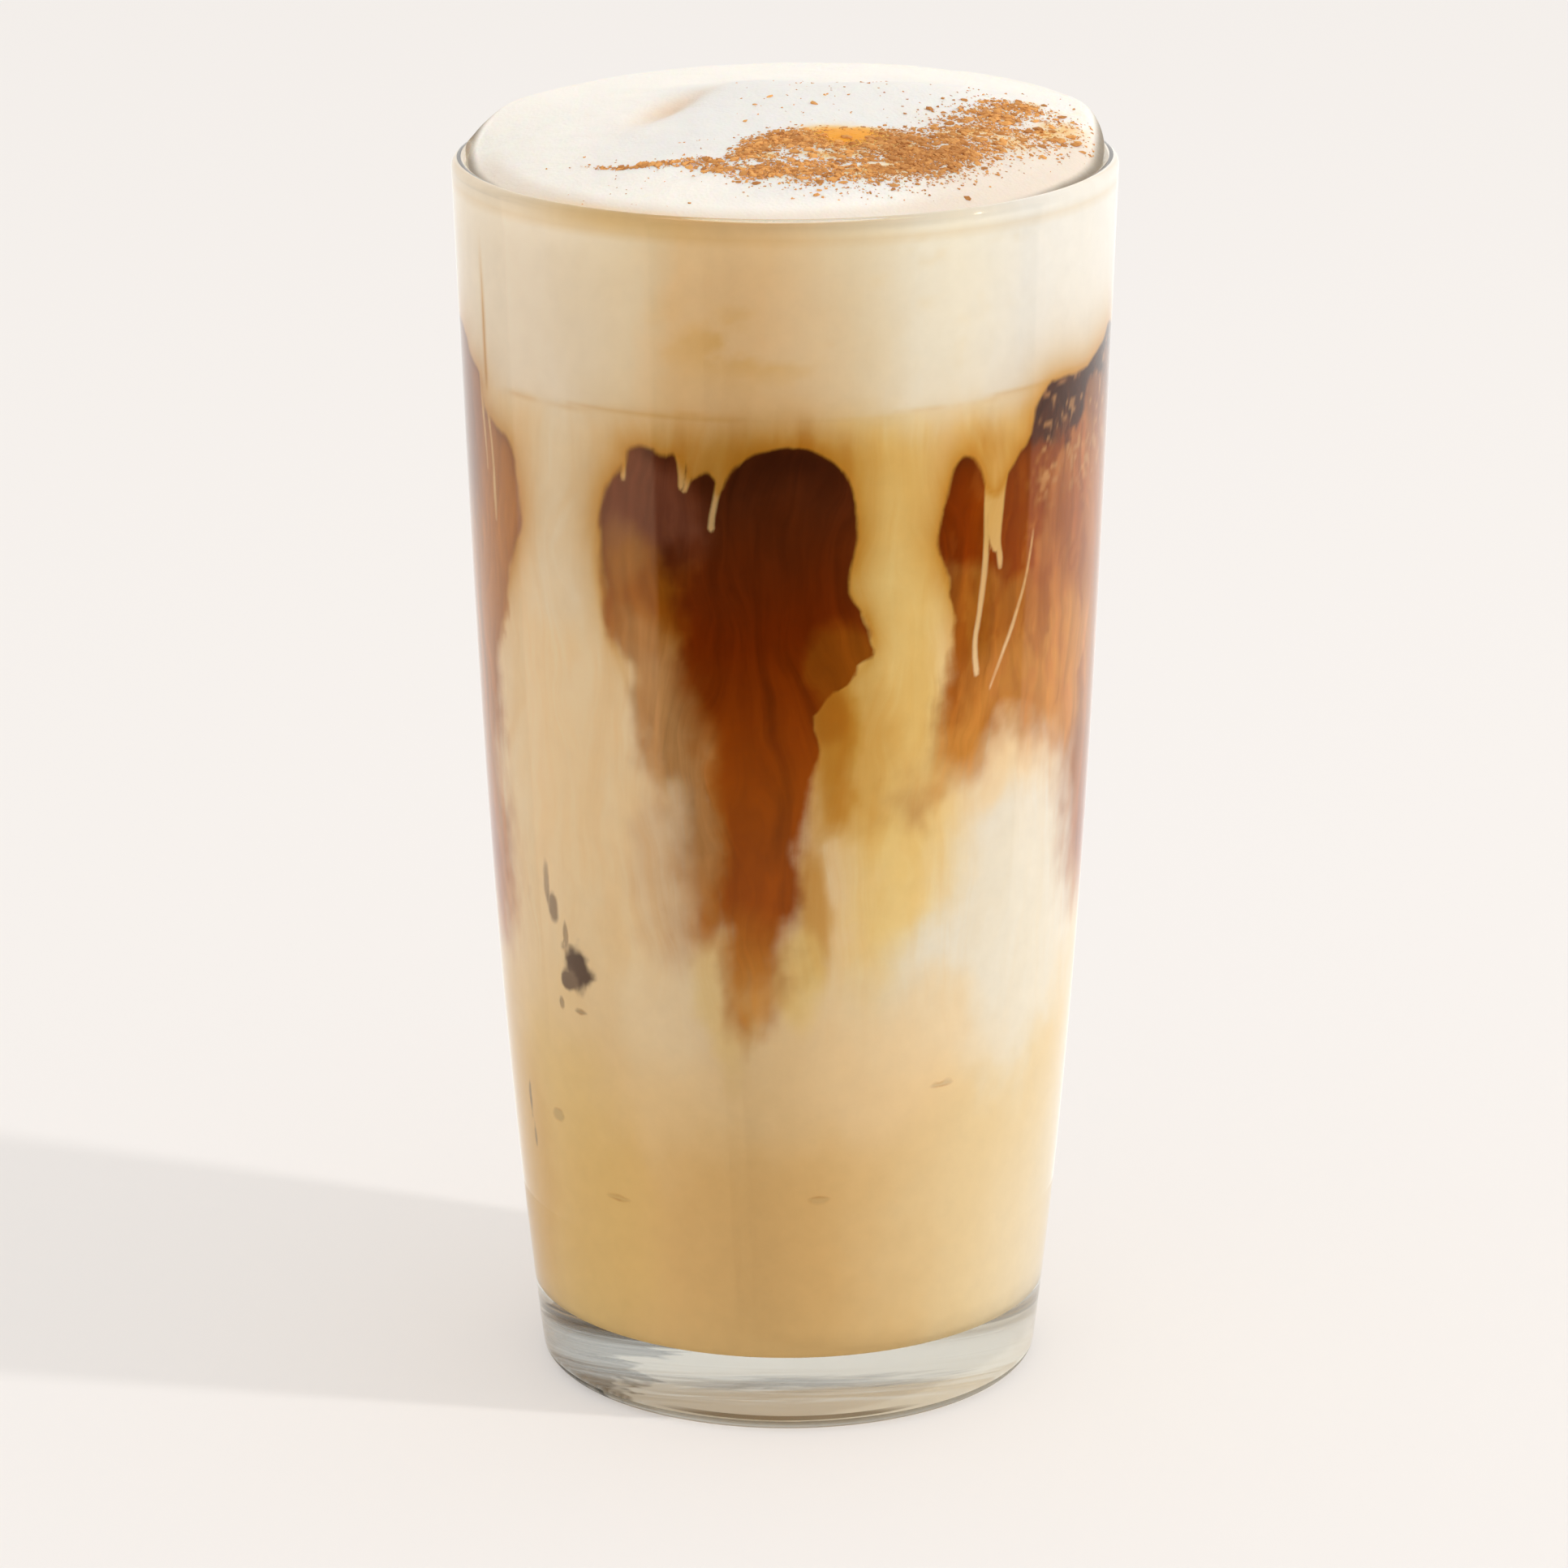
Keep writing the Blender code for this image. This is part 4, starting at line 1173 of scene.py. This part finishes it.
class CHAI_OT_foam(bpy.types.Operator):
    """Make the domed milk foam"""

    bl_idname = "chai.foam"
    bl_label = "Foam"

    def execute(self, context):
        turns, _ = wall_grid(0, 1, 2, 0.6, 2.0)
        side_rows, lip_rows, dome_rings = 44, 8, 120
        floor = DRINK_LEVEL - INTO_WALL
        rings = []
        for z in np.linspace(floor, LIP_HEIGHT, side_rows):
            x, y = wall_point(turns, inner_radius(z) + INTO_WALL + 0.02)
            rings.append(np.stack([x, y, z + 0 * x], 1))
        for share in np.linspace(0, 1, lip_rows + 1)[1:]:
            radius, z = on_lip(lip_lap(turns) * share)
            rings.append(np.stack([*wall_point(turns, radius), z], 1))
        edge_x, edge_y, _ = rings[-1].T
        for share in np.sin(np.linspace(math.pi / 2, 0, dome_rings + 1))[1:-1]:
            x, y = edge_x * share, edge_y * share
            rings.append(np.stack([x, y, foam_surface(x, y)], 1))
        centre = (0.0, 0.0, float(foam_surface(np.array(0.0), np.array(0.0))))
        points, faces = closed_body(rings, ((centre, True), ((0.0, 0.0, floor), False)))
        made = new_object("milk_foam", points, faces)
        paint(made, "tone", to_linear(self.tones(context.scene.chai_foam, points)))
        marble(made, points, context.scene.chai_drink)
        made.data.set_sharp_from_angle(angle=SHARP_FROM)
        made.data.materials.append(foam_finish())
        made.data.materials.append(drink_finish())
        # Against the wall the foam is seen wet, so it has the drink's finish there.
        finish = np.zeros(len(faces), dtype=np.int32)
        finish[:len(turns) * (side_rows - 1)] = 1
        made.data.polygons.foreach_set("material_index", finish)
        fit(made, "foam", "foam")
        return {"FINISHED"}

    def tones(self, settings, points):
        """Colour of the foam on top, by its folds and the cinnamon, with painted shade in a fold and a
        painted highlight on a swell.
        """
        names = ("white", "warm", "cream", "fold", "stain", "shade")
        tone = {name: to_srgb(getattr(settings, name)) for name in names}
        x, y, _ = points.T
        out, turn = np.hypot(x, y), turn_of(x, y)
        made = np.empty((len(points), 3))
        made[:] = tone["white"]
        soft = lumps(x, y, 14, 310)
        front_edge = eased((out - 33.0) / 2.4) * eased((4 - y) / 14)
        # The painted shade in the fold left of the middle, and the painted highlight on the swell in front.
        c, s = math.cos(0.5), math.sin(0.5)
        along = (x + 13.5) * c - (y - 3.5) * s
        across = (y - 3.5) * c + (x + 13.5) * s
        painted_highlight = np.exp(-(((x - 4) / 11) ** 2) - ((y + 30 - 0.1 * x) / 2.6) ** 2)
        # Beside the glass the foam stands in its shade, and at the left in the espresso's stain.
        edge = foam_edge(turn)[0]
        amber = hill(turn, -31, 18) * eased((out - (edge - 3.4)) / 2.6)
        return layered(
            made, tone,
            ("warm", eased((np.hypot(x - 4, y + 4) - 15) / 16 + 0.35 * soft)),
            ("cream", 0.85 * eased((x - 12) / 12 + 0.3 * soft) * eased((6 - y) / 14)),
            ("cream", 0.7 * front_edge),
            # Painted shade in the fold, and a painted highlight on the swell in front.
            ("fold", 0.9 * np.exp(-((along / 2.4) ** 2) - (across / 7.5) ** 2)),
            ("white", 0.8 * painted_highlight * (1 - front_edge)),
            ("stain", 0.5 * eased(dusting(x, y)) * eased(0.4 + 0.8 * lumps(x, y, 3, 320))),
            ("shade", beside(turn, 38) * eased((out - (edge - 1.5)) / 1.3)),
            ("stain", 0.42 * amber),
            ("stain", 0.95 * eased(wetness(x, y) * 1.3)))


class CHAI_OT_cinnamon(bpy.types.Operator):
    """Scatter the ground cinnamon over the foam"""

    bl_idname = "chai.cinnamon"
    bl_label = "Cinnamon"

    def execute(self, context):
        settings = context.scene.chai_foam
        finish = cinnamon_finish(settings)
        grain = ("GeometryNodeMeshCube", {"Size": (1.4, 1.4, 1.4)})
        chip = ("GeometryNodeMeshIcoSphere", {"Radius": 1.0, "Subdivisions": 1})
        fine = self.spread(settings.grains, GRAIN_SIZES, 501)
        self.lay("cinnamon_grains", fine, grain, 501, finish)
        coarse = self.spread(settings.flakes, FLAKE_SIZES, 502)
        large = self.large_flakes()
        both = [np.concatenate(pair) for pair in zip(coarse, large)]
        self.lay("cinnamon_flakes", both, chip, 502, finish)
        return {"FINISHED"}

    def places(self, count, rng):
        """Places of the grains: thick along the bands, with a few strays about them."""
        shares = np.cumsum([share for _, share in CINNAMON_BANDS])
        lines = [curve(band, 8, False) for band, _ in CINNAMON_BANDS]
        found = []
        while len(found) < count:
            if rng.random() < ASTRAY:
                x, y = rng.uniform(-26, 37), rng.uniform(-32, 14)
                keep = math.hypot(x, y) < FOAM_EDGE - 1.5 and (x > -6 or y < -14)
            else:
                line = lines[min(int(np.searchsorted(shares, rng.random() * shares[-1])), len(lines) - 1)]
                at = rng.random() * (len(line) - 1.001)
                low = int(at)
                ahead = line[low + 1] - line[low]
                px, py, half = line[low] + ahead * (at - low)
                heading = math.atan2(ahead[1], ahead[0])
                offset, along = rng.normal(0, 0.55) * half, rng.normal(0, 1.0)
                x = px + along * math.cos(heading) - offset * math.sin(heading)
                y = py + along * math.sin(heading) + offset * math.cos(heading)
                bare = 1.2 * lumps(0.3 * x, y - 0.2 * x, 2.6, 330, 2) + 0.6 * lumps(x, y, 1.8, 331, 2)
                keep = math.hypot(x, y) < FOAM_EDGE - 0.5 and bare < rng.uniform(0.0, 1.4)
                keep = keep and rng.random() > 1.2 * wetness(x, y)
            if keep:
                found.append((x, y))
        return np.array(found)

    def spread(self, count, sizes, seed):
        """Places, tilts and half sizes of random grains, each laid on the slope of the foam."""
        rng = np.random.default_rng(seed)
        x, y = self.places(count, rng).T
        step = 0.3
        slope_x = (foam_surface(x + step, y) - foam_surface(x - step, y)) / (2 * step)
        slope_y = (foam_surface(x, y + step) - foam_surface(x, y - step)) / (2 * step)
        size = sizes[0] + (sizes[1] - sizes[0]) * rng.uniform(0, 1, count) ** 2.2
        tilt = np.stack([np.arctan(slope_y) + rng.normal(0, 0.25, count),
                         -np.arctan(slope_x) + rng.normal(0, 0.25, count),
                         rng.uniform(-0.9, 0.9, count)], 1)
        width, height = rng.uniform(0.35, 0.8, count), rng.uniform(0.2, 0.5, count)
        spots = np.stack([x, y, foam_surface(x, y)], 1)
        return spots, tilt, np.stack([size, size * width, size * height], 1) / 2

    def large_flakes(self):
        """Places, tilts and half sizes of the largest flakes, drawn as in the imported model."""
        rng = random.Random(11)
        streak = np.array(FLAKE_STREAK)
        along = np.arange(len(streak)) / (len(streak) - 1)

        def streak_at(share):
            return [float(np.interp(share, along, streak[:, i])) for i in range(3)]

        places = []
        while len(places) < FLAKE_COUNT:
            share = rng.random() ** 0.75
            x, y, half_width = streak_at(share)
            ahead = streak_at(min(share + 0.02, 1.0))
            back = streak_at(max(share - 0.02, 0.0))
            heading = math.atan2(ahead[1] - back[1], ahead[0] - back[0])
            offset = rng.uniform(-1, 1) * half_width
            x -= offset * math.sin(heading)
            y += offset * math.cos(heading)
            free = all(math.hypot(x - px, y - py) > FLAKE_SPACING for px, py in places)
            if math.hypot(x, y) <= FLAKE_LIMIT and free:
                places.append((x, y))
        spots, tilts, halves = [], [], []
        for x, y in places:
            length = rng.uniform(1.3, 2.8)
            half = np.array((length, length * rng.uniform(0.45, 0.7), length * rng.uniform(0.4, 0.55))) / 2
            turn, tilt = rng.uniform(-0.7, 0.7), rng.uniform(-0.3, 0.3)
            spots.append((x, y, float(foam_surface(np.array(x), np.array(y))) + half[2] * 0.15))
            tilts.append((tilt, 0.0, turn))
            among = 0.4 + 0.6 * min(1.0, 3 * float(dusting(np.array(x), np.array(y))))
            halves.append(half * among * min(0.62, 0.3 + 0.05 * max(0.0, x + 14)) * (1.0, 1.0, 0.7))
        return np.array(spots), np.array(tilts), np.array(halves)

    def lay(self, name, chips, shape, seed, finish):
        """One piece of chips laid on the foam, made by a node tree from points that carry size and turn."""
        spots, tilts, halves = chips
        made = new_object(name, spots)
        store(made, "tilt", "FLOAT_VECTOR", tilts)
        store(made, "size", "FLOAT_VECTOR", halves * MM)
        # The grains are painted darker right of the middle, where they lie thickest: painted shade within the
        # pile.
        deep = eased((spots[:, 0] - 7) / 7) * eased((25 - spots[:, 0]) / 6)
        grain = np.random.default_rng(seed + 40).uniform(0, 1, len(spots)) ** 0.8
        store(made, "grain", "FLOAT", grain * (1 - 0.4 * deep))
        tree = self.flake_tree(name, shape, finish)
        apply_tree(made, tree, {"Chip Spread": CHIP_SPREAD * MM, "Seed": seed})
        fit(made, "foam")

    def flake_tree(self, name, shape, finish):
        """Irregular chips on points, turned and sized by what each point carries, then realised."""
        tree, entry = new_geometry_tree(name, "Points", ("Chip Spread",), "Seed", "Cinnamon")
        chip = add(tree, *shape)
        tilt, size = (add(tree, "GeometryNodeInputNamedAttribute", {"Name": key}, data_type="FLOAT_VECTOR")
                      for key in ("tilt", "size"))
        turn = add(tree, "FunctionNodeEulerToRotation", (tilt,))
        laid = add(tree, "GeometryNodeInstanceOnPoints", {
            "Points": entry["Points"], "Instance": chip, "Rotation": turn, "Scale": size})
        whole = add(tree, "GeometryNodeRealizeInstances", {"Geometry": laid})
        # Each corner is pushed in or out at random, so that no two chips are alike.
        outward = entry["Chip Spread"]
        inward = add(tree, "ShaderNodeMath", (outward, -1.0), operation="MULTIPLY")
        low, high = (add(tree, "ShaderNodeCombineXYZ", (push, push, push)) for push in (inward, outward))
        push = add(tree, "FunctionNodeRandomValue", {
            0: low, 1: high, "Seed": entry["Seed"]}, data_type="FLOAT_VECTOR")
        place = add(tree, "GeometryNodeInputPosition")
        chipped = add(tree, "GeometryNodeSetPosition", {"Geometry": whole, "Position": place, "Offset": push})
        coated = add(tree, "GeometryNodeSetMaterial", {"Geometry": chipped, "Material": finish})
        add(tree, "NodeGroupOutput", (coated,))
        return tree


class CHAI_OT_stage(bpy.types.Operator):
    """Make the floor, the light and the camera"""

    bl_idname = "chai.stage"
    bl_label = "Stage"

    def execute(self, context):
        settings = context.scene.chai_stage
        self.floor(settings)
        self.sky(context, settings)
        self.key_light(settings)
        self.camera(context, settings)
        context.scene.view_settings.view_transform = "Standard"
        return {"FINISHED"}

    def floor(self, settings):
        """A pale light table. Only its middle shows in the glass's gloss, as if it ended there."""
        material, tree = new_material("opal acrylic light table")
        board = add(tree, "ShaderNodeBsdfPrincipled", {
            "Base Color": rgba([settings.scatter * value for value in settings.floor]), "Roughness": 0.9,
            "Specular IOR Level": 0.0, "Emission Color": rgba(settings.floor),
            "Emission Strength": settings.glow})
        add(tree, "ShaderNodeOutputMaterial", {"Surface": board})
        middle, far, level, sides = 70.0, 6000.0, -0.05, 96
        angles = np.arange(sides) * 2 * math.pi / sides
        rings = [[(r * math.cos(a), r * math.sin(a), level) for a in angles] for r in (middle, far)]
        border = [(i, sides + i, sides + (i + 1) % sides, (i + 1) % sides) for i in range(sides)]
        for name, points, faces in (("floor_middle", rings[0], [tuple(range(sides))]),
                                    ("floor_outer", rings[0] + rings[1], border)):
            made = new_object(name, points, faces, smooth=False)
            made.data.materials.append(material)
            made.visible_glossy = name == "floor_middle"

    def sky(self, context, settings):
        """Soft light all round, with a window on the left, a wall on the right and a dim front."""
        world = bpy.data.worlds.new("studio")
        context.scene.world = world
        tree = empty_tree(world)
        place = add(tree, "ShaderNodeTexCoord").outputs["Generated"]
        parts = add(tree, "ShaderNodeSeparateXYZ", (place,)).outputs
        back = add(tree, "ShaderNodeMath", (parts["Y"], -1.0), operation="MULTIPLY")
        around = add(tree, "ShaderNodeMath", (parts["X"], back), operation="ARCTAN2")
        degrees = add(tree, "ShaderNodeMath", (around,), operation="DEGREES")
        total = None
        for start, end, bright in SECTORS:
            rise = add(tree, "ShaderNodeMapRange", (degrees, start - 1.0, start + 1.0))
            fall = add(tree, "ShaderNodeMapRange", (degrees, end - 1.0, end + 1.0, bright, 0.0))
            sector = add(tree, "ShaderNodeMath", (rise, fall), operation="MULTIPLY")
            total = add(tree, "ShaderNodeMath", (total, sector), operation="ADD") if total else sector
        # A soft box stands overhead, and a bright floor lies below.
        above = add(tree, "ShaderNodeMapRange", (parts["Z"], 0.35, 0.5), interpolation_type="SMOOTHSTEP")
        box = add(tree, "ShaderNodeMapRange", (parts["Z"], 0.90, 0.94, 1.0, 5.0))
        upper = add(tree, "ShaderNodeMix", {0: above, 2: total, 3: box}, data_type="FLOAT")
        below = add(tree, "ShaderNodeMapRange", (parts["Z"], -0.34, -0.42), interpolation_type="SMOOTHSTEP")
        mirrored = add(tree, "ShaderNodeMix", {0: below, 2: upper, 3: 0.88}, data_type="FLOAT")
        # Gloss sees all that, and everything matt sees a soft sky, brighter near the horizon.
        soft = add(tree, "ShaderNodeMix", {0: above, 2: settings.horizon, 3: settings.sky}, data_type="FLOAT")
        glossy = add(tree, "ShaderNodeLightPath").outputs["Is Glossy Ray"]
        bright = add(tree, "ShaderNodeMix", {0: glossy, 2: soft, 3: mirrored}, data_type="FLOAT")
        light = add(tree, "ShaderNodeBackground", {"Color": rgba(linear("#FFFDFA")), "Strength": bright})
        add(tree, "ShaderNodeOutputWorld", {"Surface": light})

    def key_light(self, settings):
        """A small low lamp on the right that draws the soft-edged shadow."""
        lamp = bpy.data.lights.new("key", "POINT")
        lamp.energy = 1.0
        lamp.shadow_soft_size = LAMP_SIZE
        tree = empty_tree(lamp)
        even = add(tree, "ShaderNodeLightFalloff", {"Strength": settings.key}).outputs["Constant"]
        glow = add(tree, "ShaderNodeEmission", {"Color": rgba(linear("#FFFDFB")), "Strength": even})
        add(tree, "ShaderNodeOutputLight", {"Surface": glow})
        elevation, heading = math.radians(LAMP_ELEVATION), math.radians(LAMP_HEADING)
        flat, up = LAMP_DISTANCE * math.cos(elevation), LAMP_DISTANCE * math.sin(elevation)
        put_in_scene("key", lamp).location = (flat * math.cos(heading), flat * math.sin(heading), up)

    def camera(self, context, settings):
        data = bpy.data.cameras.new("camera")
        data.lens = settings.lens
        data.sensor_width = 36
        data.clip_start = 0.01
        place = Matrix.Translation(Vector(CAMERA_PLACE) * MM)
        tilt = Matrix.Rotation(math.radians(90 - CAMERA_DOWN), 4, "X")
        roll = Matrix.Rotation(math.radians(CAMERA_ROLL), 4, "Z")
        made = put_in_scene("camera", data)
        made.matrix_world = place @ tilt @ roll
        context.scene.camera = made


class CHAI_PT_panel(bpy.types.Panel):
    """Lists the pieces"""

    bl_label = "Dirty chai"
    bl_idname = "CHAI_PT_panel"
    bl_space_type = "VIEW_3D"
    bl_region_type = "UI"
    bl_category = "Chai"

    def draw(self, context):
        for operator in OPERATORS:
            self.layout.operator(operator.bl_idname)


OPERATORS = (CHAI_OT_glass, CHAI_OT_drink, CHAI_OT_foam, CHAI_OT_cinnamon, CHAI_OT_stage)
GROUPS = {"chai_glass": ChaiGlass, "chai_drink": ChaiDrink, "chai_foam": ChaiFoam, "chai_stage": ChaiStage}


def register():
    for group in GROUPS.values():
        bpy.utils.register_class(group)
    for operator in OPERATORS:
        bpy.utils.register_class(operator)
    bpy.utils.register_class(CHAI_PT_panel)
    for name, group in GROUPS.items():
        setattr(bpy.types.Scene, name, bpy.props.PointerProperty(type=group))


def unregister():
    for name in GROUPS:
        delattr(bpy.types.Scene, name)
    bpy.utils.unregister_class(CHAI_PT_panel)
    for kind in (*OPERATORS, *GROUPS.values()):
        bpy.utils.unregister_class(kind)


def main():
    register()
    bpy.ops.chai.glass()
    bpy.ops.chai.drink()
    bpy.ops.chai.foam()
    bpy.ops.chai.cinnamon()
    bpy.ops.chai.stage()


if __name__ == "__main__":
    main()
